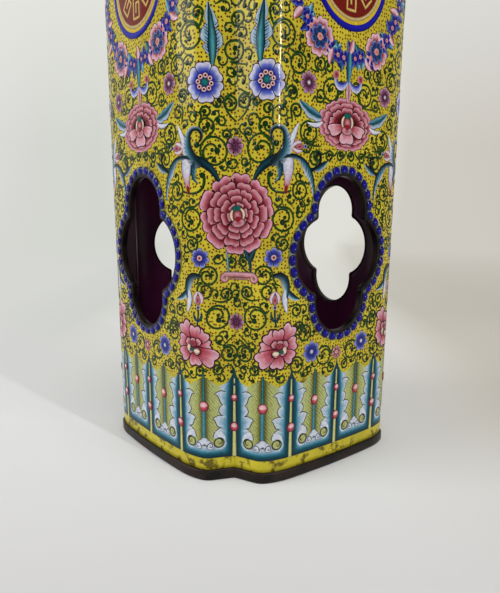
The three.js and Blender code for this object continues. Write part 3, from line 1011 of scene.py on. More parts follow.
def acanthus_spray(pen):
    """The spray beside the big peony: a stem to a node, an upright leaf that curls over, a white
    leaf behind it, an arch towards the window with a side shoot, and a large hanging bud."""
    back = bezier((20.4, 129.4), (21.6, 134.0), (24.8, 139.4), count=14)
    leaf(pen, back, 1.3, 1.4, WHITE_STOPS, ink=GREY_INK)
    hanging = bezier((20.2, 127.6), (20.8, 122.0), (19.2, 114.2), count=22)
    leaf(pen, hanging, 2.5, 2.5,
         fade((-1, 140, 168, 190), (-0.4, WHITE), (0.3, 214, 210, 224), (1, 150, 162, 190)),
         ink=srgb(84, 80, 100), tint=srgb(198, 96, 122), inked=(0, 0, 0.05, 0.3, 0.85, 1),
         lefts=(0.9, 1.0, 0.9, 0.6, 0.36, 0.1), rights=(0.8, 1.0, 1.0, 0.7, 0.4, 0.1))
    leaf(pen, hanging[16:], 0.7, 0.7, plain(srgb(136, 16, 26)), layer=0.12)
    leaf(pen, bezier((7.2, 119.0), (10.0, 125.4), (17.6, 127.0), count=22), 1.0, 1.0, STEM_STOPS,
         layer=0.1, lefts=(0.6, 1.1, 1.4, 1.6, 1.7), rights=(0.6, 1.1, 1.5, 1.7, 1.8),
         inked=(0.2, 0.3, 0.5, 0.8))
    arch = bezier((14.2, 125.6), (22.0, 129.8), (33.4, 128.4), (32.8, 112.4), count=36)
    leaf(pen, arch, 1.0, 1.0, TURNED_STOPS, layer=0.11,
         lefts=(1.2, 0.9, 0.7, 1.0, 2.4, 3.0, 1.6, 0.3),
         rights=(1.2, 1.2, 1.0, 0.9, 0.9, 0.8, 0.6, 0.3), inked=(1, 0.9, 0.7, 0.3, 0, 0, 0))
    ticks(pen, arch, -1, 0.5, 2.4, 9, start=0.5, lean=1.6)
    round_end = curl(15.9, 134.6, 3.0, 10, 0.6, close=0.25)
    rise = bezier((13.6, 125.0), (18.4, 127.6), (19.6, 131.0), round_end[0], count=20)
    vein = np.concatenate([rise[:-1], round_end])
    leaf(pen, vein, 1.0, 1.0, TURNED_STOPS, layer=0.12,
         lefts=(1.4, 2.6, 3.4, 3.0, 1.7, 0.9, 0.6, 0.4),
         rights=(1.4, 1.7, 1.5, 1.2, 1.0, 0.8, 0.6, 0.4),
         inked=(0.9, 0.6, 0.1, 0, 0.2, 0.5, 0.8, 1))
    ticks(pen, vein, -1, 0.5, 2.2, 8, start=0.12, stop=0.55, lean=1.8)
    drop(pen, 15.4, 131.8, 1.15, BUD, base=0.12, sides=10, rings=3)
    inner = bezier((15.6, 126.6), (18.6, 124.4), (18.0, 119.6), (15.0, 118.4), count=22)
    leaf(pen, inner, 1.0, 1.0, [(-1, PALE), (-0.4, TEAL_MID), (0.1, TEAL), (1, TEAL_INK)],
         layer=0.11, inked=(0.9, 0.4, 0, 0), lefts=(1.0, 1.8, 1.7, 0.8, 0.2),
         rights=(0.5, 0.7, 0.6, 0.5, 0.2))
    ticks(pen, inner, -1, 0.3, 1.6, 5, start=0.2, stop=0.7)
    shoot = bezier((31.0, 123.0), (36.6, 123.8), (37.4, 130.4), (33.4, 129.2), count=16)
    stroke(pen, shoot, np.linspace(1.3, 0.8, 16), plain(TEAL_INK), height=0.04, base=0.12)
    leaf(pen, bezier((32.0, 123.4), (35.6, 123.6), (39.8, 127.0), count=14), 1.4, 1.4, TURNED_STOPS,
         layer=0.1, inked=(0.6, 0.2, 0))
    stroke(pen, bezier((12.8, 120.8), (12.0, 115.6), (16.0, 113.4), (22.0, 115.6), count=16),
           np.linspace(1.2, 0.7, 16), SCROLL, height=0.04, base=0.03)
    drop(pen, 13.4, 121.2, 1.1, BUD, base=0.05, sides=10, rings=3)
    side_bud(pen, 24.8, 131.0, 96)


# %% Lower spray
def lower_spray(pen):
    """The spray that falls beside the lower peony, with its white tip."""
    leaf(pen, bezier((15.0, 84.2), (20.0, 85.8), (22.4, 81.0), (20.8, 75.6), count=24), 1.0, 1.0,
         TURNED_STOPS, layer=0.1, lefts=(0.7, 1.8, 2.6, 2.2, 0.6), rights=(0.7, 1.2, 1.2, 1.0, 0.4),
         inked=(0.9, 0.7, 0.3, 0))
    leaf(pen, bezier((20.4, 79.6), (22.4, 75.4), (27.6, 74.6), count=16), 1.4, 1.2, TURNED_STOPS)
    leaf(pen, bezier((20.2, 79.0), (19.0, 75.0), (21.2, 69.6), count=14), 1.3, 1.5, WHITE_STOPS,
         layer=0.09, ink=GREY_INK)
    side_bud(pen, 15.8, 75.4, 0)
    stroke(pen, bezier((15.9, 71.6), (15.6, 69.0), (16.6, 64.4), count=8), 0.8, STEM_STOPS)
    for x, way in ((14.2, -1), (18.2, 1)):
        leaf(pen, bezier((16.0, 66.6), (x, 67.6), (x - way * 0.2, 70.6), count=8), 0.5, 0.6,
             STEM_STOPS)


# %% [markdown]
# ## Peonies seen from the side
#
# Under the sprays hang two open peonies. Wide ragged petals stand round a small folded heart.

# %% Open peony
OPEN_STOPS = fade((0, 126, 22, 38), (0.3, 154, 48, 64), (0.55, 188, 94, 108), (0.82, 212, 154, 168),
                  (1, 222, 186, 198))
OPEN_PETALS = [(56, 27, 11.8), (129, 33, 9.0), (212, 29, 11.6), (174, 26, 8.4), (262, 33, 8.8),
               (322, 31, 9.0), (12, 30, 8.8), (94, 28, 8.4)]
HEART_PETALS = [(140, 4.4), (30, 4.6), (-50, 4.0), (-130, 4.4), (85, 3.6)]


def open_peony(pen, rng):
    """Eight wide petals at uneven angles, then a twist of small ones round a teal fold."""
    for i, (degrees, spread, reach) in enumerate(OPEN_PETALS):
        petal(pen, np.radians(degrees), np.radians(spread), 1.2, reach * rng.uniform(0.95, 1.05),
              OPEN_STOPS, ROSE_LINE, dent=0.12, layer=0.07 + 0.02 * (i * 3 % 8), corner=4.2,
              line=0.55, inked=0.36)
    for i, (degrees, reach) in enumerate(HEART_PETALS):
        petal(pen, np.radians(degrees), np.radians(38), 0.4, reach, ROSE_STOPS, ROSE_LINE,
              layer=0.24 + 0.02 * i, corner=2.6, line=0.34, columns=5, inked=0.3)
    drop(pen, -1.6, -1.9, 1.4, rimmed(CREAM, ROSE_LINE, 0.75), base=0.36, oval=(1.2, 0.7))
    drop(pen, 2.2, -0.9, 1.4, rimmed(CREAM, ROSE_LINE, 0.75), base=0.36, oval=(0.7, 1.2))
    drop(pen, 0.8, -1.4, 1.3, rimmed(TEAL_CAP, ROSE_LINE), base=0.38, oval=(1.2, 0.6))
    drop(pen, 0, 0.9, 1.5, [(0, ROSE_DEEP), (0.6, ROSE), (1, ROSE_LINE)], base=0.36,
         oval=(1.1, 0.9))


# %% [markdown]
# ## One corner of the ground
#
# The design has two units that take turns round the tube: one on each notch and one on each wall.
# Half of a unit is drawn and mirrored, with small seeded shifts so that no two halves match, as on
# handwork. Each row of the scroll table is a curl: its place, radius, first direction in degrees,
# turns (negative turns clockwise) and the point where its tail begins.

# %% Scrolls of the corner unit
CORNER_SCROLLS = [
    (9.2, 129.7, 4.9, -30, 1.45, (15.0, 125.4)),
    (12.0, 137.7, 2.9, 235, -1.1, (14.6, 131.0)),
    (4.6, 135.2, 1.7, 230, -1.0, (4.4, 130.6)),
    (7.4, 146.2, 2.4, 180, -1.0, (0.6, 140.0)),
    (12.2, 142.9, 1.8, -20, 1.05, (13.6, 139.2)),
    (3.2, 146.2, 2.4, 60, 1.3, (0.4, 150.6)),
    (17.8, 168.2, 4.4, 140, -1.5, (13.4, 172.6)),
    (14.6, 174.6, 2.0, 200, -1.0, (14.4, 169.6)),
    (24.2, 159.6, 3.5, 110, -1.4, (20.0, 164.0)),
    (21.6, 149.0, 2.2, 160, -1.2, (20.4, 156.2)),
    (23.5, 143.5, 2.3, 200, -1.2, (22.0, 139.4)),
    (29.2, 136.6, 3.9, 260, -1.4, (35.6, 132.2)),
    (33.2, 127.4, 2.7, -40, 1.2, (30.6, 124.0)),
    (25.8, 116.0, 3.3, 60, 1.4, (30.8, 119.0)),
    (18.6, 105.4, 4.4, 100, -1.45, (14.6, 111.4)),
    (18.4, 96.2, 2.6, 80, 1.2, (21.0, 101.6)),
    (11.4, 84.6, 3.4, 0, 1.35, (16.4, 81.2)),
    (13.4, 78.6, 3.0, 60, -1.2, (17.8, 80.6)),
    (2.6, 89.2, 1.8, 40, 1.1, (6.4, 92.6)),
    (4.4, 77.4, 2.3, 250, -1.2, (10.0, 75.4)),
    (8.2, 68.3, 4.5, 30, 1.5, (13.8, 71.6)),
    (25.2, 70.4, 2.3, 120, -1.2, (21.6, 72.6)),
    (30.2, 60.6, 3.2, 120, -1.3, (25.4, 64.4)),
    (3.4, 53.6, 3.2, 60, 1.4, (0.8, 61.2)),
    (7.8, 47.2, 2.0, 90, -1.2, (9.6, 52.0)),
    (26.4, 48.2, 3.2, 150, -1.4, (20.8, 47.0)),
    (15.4, 46.6, 1.9, 160, -1.2, (12.0, 47.6)),
    (34.6, 149.6, 2.2, 200, 1.2, (30.8, 147.2)),
    (34.4, 160.4, 2.5, 240, -1.3, (29.4, 158.4)),
]
MIDDLE_SCROLLS = [  # on the notch itself, not mirrored
    (-1.0, 163.2, 3.5, 260, 1.35, (4.4, 158.4)),
    (0.4, 173.4, 2.4, 260, -1.3, (-1.8, 168.4)),
]


# %% The bar under the peony
RUYI_Z = 84.2


def ruyi_bar(pen):
    """The rose-coloured bar with curled ends that ties the stems under the big peony."""
    foot = RUYI_Z + 0.6
    stroke(pen, bezier((-4.0, foot), (-4.2, RUYI_Z + 5), (-4.8, 95.0), count=10), 0.9,
           [(-1, TEAL_INK), (-0.3, TEAL_MID), (0.4, PALE), (1, TEAL_INK)])
    stroke(pen, bezier((-4.2, 88.0), (-2.6, 91.0), (-1.8, 96.0), count=10), 0.6, SCROLL)
    stroke(pen, bezier((5.2, foot), (5.4, 88.0), (4.6, 91.0), count=8), np.linspace(0.9, 1.8, 8),
           STEM_STOPS)
    for path in (bezier((4.8, 89.4), (4.4, 92.4), (2.0, 94.2), count=12),
                 bezier((5.0, 89.4), (5.6, 92.4), (7.6, 94.6), count=12)):
        leaf(pen, path, 1.1, 1.1, STEM_STOPS)
    hook = bezier((4.9, 85.4), (1.6, 86.6), (-0.8, 90.2), (1.4, 91.6), count=14)
    stroke(pen, hook, np.linspace(0.7, 1.0, 14), SCROLL, height=0.04)
    bud(pen, hook, 0.9)
    rose = fade((-1, ROSE_LINE), (-0.75, ROSE), (-0.1, ROSE_PALE), (0.6, 224, 174, 180),
                (1, ROSE_LINE))
    back = turned(rose)
    for side in (-1, 1):
        end = curl(0.6 + side * 6.0, RUYI_Z - 0.8, 1.3, 90, -side * 0.9, close=0.4)
        stroke(pen, end, 1.6, rose if side < 0 else back, height=0.12, base=0.04)
    bar = np.column_stack([np.linspace(6.9, -5.7, 14), np.full(14, RUYI_Z + 0.4)])
    stroke(pen, bar, 2.3, back, height=0.16, base=0.06)
    line = np.column_stack([np.linspace(4.2, -3.2, 8), np.full(8, RUYI_Z - 1.2)])
    stroke(pen, line, 0.7, [(-1, ROSE_LINE), (-0.2, ROSE_PALE), (1, ROSE_LINE)], height=0.05)


# %% Both halves of a unit
DRIFT, TURN_DRIFT, SCROLL_DRIFT = 0.4, 5, 0.3


def halves(blooms, vines, centre, scrolls, rng):
    """For each side of a unit: draws its scrolls, then gives the pen of that half and a function
    that makes a flower's pen there. Each is shifted a little, as by hand."""
    for mirror in (1, -1):
        def shifted(x, y, turn=0.0):
            """A flower's pen, a little off its place and its turn."""
            shift = rng.uniform(-DRIFT, DRIFT, 2)
            return blooms.at(centre, 0, mirror=mirror).at(
                x + shift[0], y + shift[1], turn + rng.uniform(-TURN_DRIFT, TURN_DRIFT))

        drift = rng.uniform(-DRIFT, DRIFT, 2)
        twigs = vines.at(centre, 0, mirror=mirror).at(*drift)
        for row in scrolls:
            scroll(twigs.at(*rng.uniform(-SCROLL_DRIFT, SCROLL_DRIFT, 2)), curl(*row))
        yield blooms.at(centre, 0, mirror=mirror).at(*drift), shifted


# %% Draw one corner
PURPLE_EYE = (srgb(60, 30, 46), srgb(112, 50, 92))
CRIMSON_EYE = (srgb(110, 16, 26), srgb(236, 190, 180))
PALE_EYE = (srgb(214, 210, 222), srgb(70, 26, 56))


def draw_corner(blooms, vines, centre, rng):
    """One corner unit: everything that is centred on a notch or mirrored about it."""
    peony(blooms.at(centre + 0.3, 107.0, rng.uniform(-10, 10)), rng, size=1.04)
    small_flower(blooms.at(centre - 0.6, 131.4), 3.5, 8, PURPLE_STOPS, PURPLE_LINE, PURPLE_EYE)
    small_flower(blooms.at(centre - 0.2, 66.2), 3.5, 8, PURPLE_STOPS, PURPLE_LINE, PURPLE_EYE)
    ruyi_bar(blooms.at(centre, 0).at(0.6, 0))
    for row in MIDDLE_SCROLLS:
        scroll(vines.at(centre, 0), curl(*row))
    for half, shifted in halves(blooms, vines, centre, CORNER_SCROLLS, rng):
        acanthus_spray(half)
        lower_spray(half)
        blade_leaf(half, bezier((9.4, 158.6), (8.8, 167.0), (10.6, 178.4), count=40))
        blue_flower(shifted(11.8, 152.6))
        open_peony(shifted(18.2, 56.2, turn=2), rng)
        small_flower(shifted(14.6, 91.2), 3.9, 7, SMALL_BLUE, BLUE_LINE, CRIMSON_EYE)
        small_flower(shifted(28.8, 153.6), 4.1, 7, PURPLE_STOPS, PURPLE_LINE, PALE_EYE)


# %% [markdown]
# ## One wall's middle
#
# Over each window sits an oval peony between two leaves, and under it three small flowers.

# %% Wall unit
WALL_SCROLLS = [
    (9.4, 152.4, 4.0, 200, -1.45, (14.0, 147.8)),
    (10.6, 160.4, 2.0, 320, 1.2, (13.8, 157.0)),
    (3.2, 129.2, 1.7, 180, -1.2, (0.4, 131.0)),
    (9.0, 128.8, 1.8, 160, -1.2, (4.8, 131.0)),
    (15.0, 129.0, 1.9, 140, -1.2, (10.6, 130.6)),
    (20.8, 132.2, 2.5, 180, 1.2, (15.6, 133.8)),
    (8.0, 50.4, 3.9, 170, -1.45, (3.0, 54.0)),
    (4.6, 44.6, 1.9, 60, 1.2, (3.0, 48.6)),
    (22.0, 63.4, 2.6, 150, -1.3, (19.6, 57.6)),
    (4.0, 154.6, 1.7, 250, 1.2, (6.6, 151.0)),
]


def draw_wall_middle(blooms, vines, centre, rng):
    """One wall unit, mirrored about the middle of the wall."""
    for half, shifted in halves(blooms, vines, centre, WALL_SCROLLS, rng):
        leaf(half, bezier((12.6, 142.4), (19.0, 142.6), (24.8, 147.6), count=20), 2.6, 2.0,
             fade((-1, WHITE), (-0.5, PALE), (-0.15, 8, 50, 64), (0, TEAL), (0.5, TEAL_MID),
                  (1, PALE)),
             scallops=3, ink=GREY_INK)
        leaf(half, bezier((13.0, 141.0), (16.0, 138.6), (21.0, 140.2), count=12), 1.1, 1.0,
             WHITE_STOPS, ink=GREY_INK)
        small_flower(shifted(14.8, 53.2), 4.6, 7, SMALL_BLUE, BLUE_LINE,
                     (srgb(214, 214, 224), srgb(40, 40, 110)))
    small_flower(blooms.at(centre - 0.6, 50.6), 2.9, 7, [(0, ROSE_DEEP), (1, ROSE_PALE)], ROSE_LINE,
                 (srgb(200, 90, 110), srgb(240, 210, 210)))
    folded_peony(blooms.at(centre, 140.8), rng)


# %% Draw the ground's flowers and scrolls
CORNER_SHIFT = 1.2
flowers, vines = Drawing("flowers"), Drawing("scrolls")
for corner in range(4):
    seed = np.random.default_rng(10 + corner)
    draw_corner(Pen(flowers), Pen(vines), corner * WALL + CORNER_SHIFT, seed)
    draw_wall_middle(Pen(flowers), Pen(vines), (corner + 0.5) * WALL, seed)
print("main scrolls:", len(vine_paths))

# %% [markdown]
# ## Medallion and garland
#
# The upper half of each wall carries a brick-red roundel in a blue ring, inside a garland of roses
# and small flowers. The roundel holds a plain geometric fret.

# %% Medallions
MEDALLION_Z = 194.5
RING_BLUE = fade((-1, 4, 3, 60), (-0.5, 6, 6, 140), (0.2, 14, 18, 188), (1, 4, 3, 70))
BRICK = srgb(112, 14, 2)
FRET = fade((-1, 60, 10, 2), (-0.5, 206, 164, 84), (0.5, 220, 188, 112), (1, 60, 10, 2))


def ring_path(radius, count=72):
    """A circle: the radius times the cosine and sine."""
    angle = np.linspace(0, 2 * np.pi, count)
    return np.column_stack([radius * np.cos(angle), radius * np.sin(angle)])


def key_path(angle, inner, outer, width):
    """One hook of the fret: out along a spoke, across, back in and across again."""
    cos, sin = np.cos(angle), np.sin(angle)
    corners = np.array([(inner, -width), (outer, -width), (outer, width), (inner + 1.8, width),
                        (inner + 1.8, -width * 0.1), (outer - 1.9, -width * 0.1)])
    steps = [np.linspace(corners[i], corners[i + 1], 6)[:-1] for i in range(len(corners) - 1)]
    path = np.concatenate(steps + [corners[-1:]])
    return np.column_stack([path[:, 0] * cos - path[:, 1] * sin,
                            path[:, 0] * sin + path[:, 1] * cos])


def draw_medallion(pen):
    """A brick-red disc in three rings, with a ring of eight hooks round a small flower."""
    drop(pen, 0, 0, 16.6, plain(BRICK), height=0.02, base=0.04, sides=64, rings=16)
    stroke(pen, ring_path(19.2), 2.5, RING_BLUE, height=0.16)
    stroke(pen, ring_path(17.4), 1.4, plain(srgb(206, 176, 48)), height=0.04, base=0.05)
    stroke(pen, ring_path(16.2), 1.3, fade((-1, 110, 60, 20), (0, 232, 214, 150), (1, 120, 60, 20)),
           base=0.06)
    stroke(pen, ring_path(4.8, 36), 1.1, FRET, base=0.06)
    for i in range(8):
        stroke(pen, key_path(2 * np.pi * i / 8, 6.2, 13.4, 2.3), 1.15, FRET, base=0.06)
    small_flower(pen, 3.4, 6, fade((0, 190, 140, 70), (1, 232, 204, 140)), srgb(90, 20, 10),
                 (BRICK, srgb(228, 196, 120)))


# %% Garlands
GARLAND_RADIUS = 29.5
GARLAND_ROSES = [-122, -58, 166, 14, 122, 58]
SKY_STOPS = fade((-1, 10, 40, 104), (-0.2, 50, 128, 164), (0.5, 130, 184, 210), (1, 190, 212, 226))
SEA_STOPS = fade((-1, 4, 44, 54), (0, 12, 88, 92), (1, 110, 170, 172))
NAVY_STOPS = fade((-1, 8, 8, 70), (0, 20, 26, 130), (0.5, 60, 90, 170), (1, 150, 180, 214))
NIGHT_STOPS = fade((0, 8, 6, 80), (0.55, 16, 14, 128), (0.85, 40, 50, 160), (1, 120, 140, 204))


def garland_rose(pen):
    """A rose: broad pale outer petals, a blue and teal collar and a small orange heart."""
    for i in range(6):
        petal(pen, 2 * np.pi * i / 6, np.pi / 6 * 1.08, 3.2, 7.2,
              fade((0, ROSE_DEEP), (0.35, ROSE), (0.7, 222, 172, 186), (1, 228, 196, 206)),
              ROSE_LINE, line=0.34, dent=0.12, layer=0.14, corner=3.6)
    for i in range(7):
        stops = fade((0, 8, 6, 76), (0.5, 18, 20, 104), (0.8, 54, 84, 150), (1, 170, 186, 214))
        petal(pen, 2 * np.pi * (i + 0.5) / 7, np.pi / 7 * 1.05, 1.2, 4.6, stops, BLUE_LINE,
              line=0.24, layer=0.2, columns=5, corner=2.6)
    for i in range(6):
        x, y = 2.0 * np.cos(2 * np.pi * i / 6), 2.0 * np.sin(2 * np.pi * i / 6)
        drop(pen, x, y, 0.95, fade((0, 26, 24, 130), (0.8, 20, 90, 110), (1, BLUE_LINE)), base=0.26,
             sides=8, rings=3)
    drop(pen, 0, 0, 1.3, fade((0, 150, 60, 50), (0.5, 220, 140, 110), (1, ROSE_PALE)), base=0.3)


def garland_posy(pen):
    """A small flower of five night-blue petals with a rose eye."""
    for i in range(5):
        petal(pen, 2 * np.pi * i / 5, np.pi / 5 * 1.05, 0.3, 2.9, NIGHT_STOPS, srgb(16, 12, 60),
              line=0.2, layer=0.15, corner=2.4, columns=5)
    drop(pen, 0, 0, 0.8, fade((0, 190, 90, 90), (1, ROSE_PALE)), base=0.22, sides=8, rings=3)


def garland_bud(pen):
    """A rose-coloured bud that points away from the garland."""
    leaf(pen, bezier((0, 0), (0.5, 2.4), (-0.3, 5.0), count=9), 1.5, 1.5,
         fade((-1, ROSE_PALE), (-0.2, 236, 200, 208), (0.5, ROSE), (1, ROSE_DEEP)), layer=0.13,
         ink=ROSE_LINE)


# %% Draw a garland
def draw_garland(pen, rng):
    """Leaves, buds and posies all round a circle, roses at six places, and a pendant below."""
    for i in range(60):
        angle = 2 * np.pi * i / 60
        radius = GARLAND_RADIUS + rng.uniform(-1.0, 1.0)
        x, y = radius * np.cos(angle), radius * np.sin(angle)
        outward = np.degrees(angle) - 90
        for way in (0, 180):
            at = pen.at(x, y, outward + way + rng.uniform(-50, 50))
            stops = (SKY_STOPS, SEA_STOPS, NAVY_STOPS, NAVY_STOPS)[rng.integers(4)]
            leaf(at, bezier((0, 0), (0.9, 2.2), (0.2, 5.2), count=9), 1.3, 1.5, stops, layer=0.09,
                 ink=BLUE_LINE)
        if i % 3 == 0:
            garland_bud(pen.at(x, y, outward + (180 if i % 2 else 0) + rng.uniform(-25, 25), 1.15))
        else:
            garland_posy(pen.at(x, y, rng.uniform(0, 72), rng.uniform(0.9, 1.2)))
    for degrees in GARLAND_ROSES:
        angle = np.radians(degrees)
        garland_rose(pen.at(GARLAND_RADIUS * np.cos(angle), GARLAND_RADIUS * np.sin(angle),
                            rng.uniform(0, 60)))
    at = pen.at(0, -GARLAND_RADIUS)
    leaf(at, bezier((0, 2.0), (0.2, -4.0), (0, -9.5), count=14), 1.6, 1.6,
         fade((-1, 16, 22, 110), (-0.3, 20, 84, 110), (0.3, 90, 170, 170), (1, 16, 22, 110)),
         layer=0.17)
    for mirror in (-1, 1):
        side = at.at(0, 0, mirror=mirror)
        leaf(side, bezier((0.2, -8.0), (3.6, -12.5), (7.4, -10.4), (6.8, -6.4), count=18), 1.6, 1.0,
             fade((-1, 222, 214, 226), (-0.2, 120, 140, 206), (0.5, 34, 40, 150), (1, 24, 24, 110)),
             layer=0.15)
        drop(side, 6.7, -7.0, 1.6, [(0, ROSE_DEEP), (0.6, ROSE), (1, ROSE_PALE)], base=0.2)
    leaf(at, bezier((0, -9.2), (0.4, -12.6), (0, -16.4), count=12), 1.6, 1.6,
         fade((-1, 232, 206, 214), (-0.3, ROSE_PALE), (0.1, ROSE_DEEP), (0.4, ROSE_PALE),
              (1, 232, 206, 214)),
         layer=0.16, ink=ROSE_LINE)


roundels, garlands = Drawing("medallion"), Drawing("garland")
for wall in range(4):
    middle = (wall + 0.5) * WALL
    draw_medallion(Pen(roundels).at(middle, MEDALLION_Z))
    draw_garland(Pen(garlands).at(middle, MEDALLION_Z), np.random.default_rng(30 + wall))
roundels.finish()

# %% [markdown]
# ## The upper corner
#
# Above the sprays the design runs on to the mouth with the same flowers in another order.

# %% Upper corners
UPPER_SCROLLS = [
    (14.6, 190.6, 3.6, 200, -1.4, (12.4, 184.0)),
    (4.4, 182.6, 2.8, 300, 1.3, (8.0, 178.0)),
    (5.6, 191.4, 2.6, 250, 1.3, (2.0, 186.0)),
    (15.6, 215.6, 4.0, 120, -1.4, (12.0, 222.0)),
    (7.4, 226.6, 4.2, 100, -1.4, (2.0, 231.0)),
    (17.4, 225.6, 3.0, 60, 1.4, (12.0, 230.0)),
    (24.4, 230.4, 3.6, 150, -1.4, (19.6, 234.0)),
    (31.8, 232.4, 2.8, 100, 1.3, (28.0, 236.4)),
    (38.8, 231.2, 3.4, 150, -1.4, (34.0, 236.0)),
    (45.8, 232.4, 2.6, 90, 1.3, (42.0, 236.4)),
    (16.6, 203.6, 2.6, 90, 1.3, (16.8, 198.0)),
]


def draw_upper_corner(blooms, vines, centre, rng):
    """The upper notch: a peony with a leaf on each side and small flowers round it."""
    small_flower(blooms.at(centre, 189.5), 3.6, 8, PURPLE_STOPS, PURPLE_LINE, PURPLE_EYE)
    small_flower(blooms.at(centre, 235.0), 3.4, 8, BLUE_STOPS, BLUE_LINE, CRIMSON_EYE)
    for half, shifted in halves(blooms, vines, centre, UPPER_SCROLLS, rng):
        blade_leaf(half, bezier((9.0, 197.0), (13.0, 194.0), (16.0, 184.0), count=30), 3.0)
        blade_leaf(half, bezier((9.6, 218.0), (12.0, 225.0), (21.0, 228.6), count=30), 3.0)
    peony(blooms.at(centre, 208.0, 20), rng, size=0.86)


for corner in range(4):
    draw_upper_corner(Pen(flowers), Pen(vines), corner * WALL + CORNER_SHIFT,
                      np.random.default_rng(50 + corner))
print("scrolls:", len(vine_paths))

# %% [markdown]
# ## Shoots that fill the ground
#
# The painter fills what is left with shoots that leave the tendrils at a slant and curl up in a
# bud. A map of the unrolled tube in small cells says where paint is already near. Long shoots are
# tried first, then shorter ones, and each is drawn only where all its cells but the first few are
# free. Shoots grow on shoots too, so the ground fills as evenly as a hand fills it.

# %% A map of the free ground
LAPPETS = 16
LAPPET_STEP = 4 * WALL / LAPPETS
MAP_CELL = 0.4
CLEAR_BORDER, CLEAR_LAPPET = 0.9, 1.3  # ground left bare beside the bead border and the lappets
STAMP_BATCH = 20000
MAP_SIZE = (int(round(4 * WALL / MAP_CELL)), int(HEIGHT / MAP_CELL) + 1)


def lappet_top(s):
    """Height of the lappets' upper edge: points at each lappet's middle and at each joint."""
    across = np.abs((s / LAPPET_STEP) % 1 - 0.5) * LAPPET_STEP
    return np.interp(across, [0, 2.0, 6.4, 9.6, 11.4, LAPPET_STEP / 2],
                     [44.6, 43.2, 40.2, 41.4, 44.0, 46.6])


def map_index(s, z):
    """Cells that hold the points: round the tube and up it."""
    i = np.floor(np.asarray(s) / MAP_CELL).astype(int) % MAP_SIZE[0]
    j = np.clip((np.asarray(z) / MAP_CELL).astype(int), 0, MAP_SIZE[1] - 1)
    return i, j


def stamp(cells, s, z, radius):
    """Marks every cell nearer than the radius to one of the points."""
    reach = int(np.ceil(radius / MAP_CELL))
    a, b = np.meshgrid(np.arange(-reach, reach + 1), np.arange(-reach, reach + 1))
    round_about = np.hypot(a, b) * MAP_CELL <= radius
    i, j = map_index(s, z)
    i = (i[:, None] + a[round_about][None]) % MAP_SIZE[0]
    j = np.clip(j[:, None] + b[round_about][None], 0, MAP_SIZE[1] - 1)
    cells[i, j] = True


def busy_map(drawings, gap):
    """Cells that are taken: near any painted point, on the borders and lappets, or in a garland."""
    s, z = np.meshgrid(*[(np.arange(count) + 0.5) * MAP_CELL for count in MAP_SIZE], indexing="ij")
    across = (s % WALL) - HALF_WALL
    border = window_radius(np.arctan2(z - WINDOW_Z, across), EDGING + BORDER) + CLEAR_BORDER
    window = np.hypot(across, z - WINDOW_Z) < border
    lappets = np.minimum(z, HEIGHT - z) < lappet_top(s) + CLEAR_LAPPET
    garland = np.hypot(across, z - MEDALLION_Z) < GARLAND_RADIUS
    cells = window | lappets | garland
    for drawing in drawings:
        points = np.concatenate(drawing.points)
        for part in np.array_split(points, 1 + len(points) // STAMP_BATCH):
            stamp(cells, part[:, 0], part[:, 1], gap)
    return cells


GAP = 1.15
taken = busy_map([flowers, vines, garlands], GAP)
print("free share of the tube:", round(1 - taken.mean(), 3))


# %% Grow the shoots
SHOOT_STEPS = 13
SHOOT_LENGTHS, SHOOT_TURNS = (0.8, 1.2), (0.85, 1.15)  # seeded shares of a round's values
SHOOT_LEAN = (0.5, 1.3)  # radians off the host
ROOT_SPARE = 0.6  # a shoot's root may lie this much further than GAP from its host
# Length in mm, turning in degrees, tries and width of line of each round of shoots.
SHOOT_ROUNDS = [(12.5, 350, 60000, 0.8), (8.5, 270, 60000, 0.8), (5.6, 210, 80000, 0.74),
                (3.8, 160, 80000, 0.74)]


def shoots(starts, headings, lengths, turning, side):
    """Paths whose heading turns ever faster to one side: heading + side * turning * t ** 1.6."""
    t = (np.arange(SHOOT_STEPS) + 0.5) / SHOOT_STEPS
    angle = headings[:, None] + side[:, None] * turning[:, None] * t ** 1.6
    step = lengths[:, None] / SHOOT_STEPS
    run = np.stack([np.cos(angle) * step, np.sin(angle) * step], axis=-1)
    return np.concatenate([starts[:, None], starts[:, None] + np.cumsum(run, axis=1)], axis=1)


def grow(hosts, length, turning, tries, rng, line):
    """Tries many shoots at once on the map, then draws those that still fit one by one."""
    hosts = [path for path in hosts if len(path) > 8]
    base = np.concatenate([path[2:-4] for path in hosts])
    tangent = np.concatenate([np.gradient(path, axis=0)[2:-4] for path in hosts])
    pick = rng.integers(len(base), size=tries)
    side = rng.choice([-1.0, 1.0], tries)
    heading = np.arctan2(tangent[pick, 1], tangent[pick, 0])
    heading = heading + rng.choice([-1.0, 1.0], tries) * rng.uniform(*SHOOT_LEAN, tries)
    lengths = length * rng.uniform(*SHOOT_LENGTHS, tries)
    turns = np.radians(turning) * rng.uniform(*SHOOT_TURNS, tries)
    paths = shoots(base[pick], heading, lengths, turns, side)
    skip = int(np.ceil((GAP + ROOT_SPARE) / (length * SHOOT_LENGTHS[1] / SHOOT_STEPS))) + 1
    grown = []
    for path in paths[~taken[map_index(paths[:, skip:, 0], paths[:, skip:, 1])].any(axis=1)]:
        if taken[map_index(path[skip:, 0], path[skip:, 1])].any():
            continue
        taper = np.interp(np.linspace(0, 1, len(path)), [0, 0.2, 1], [0.5, 0.9, 1.1])
        stroke(Pen(vines), path, line * taper, SCROLL, height=0.04)
        bud(Pen(vines), path, line * 1.2)
        stamp(taken, path[:, 0], path[:, 1], GAP)
        grown.append(path)
    return grown


# %% Draw the shoots
growth = np.random.default_rng(77)
all_paths = list(vine_paths)
for length, turning, tries, line in SHOOT_ROUNDS:
    new_paths = grow(all_paths, length, turning, tries, growth, line)
    all_paths += new_paths
    print("shoots of", length, "mm:", len(new_paths), "free:", round(1 - taken.mean(), 3))
flowers.finish()
vines.finish()
garlands.finish()

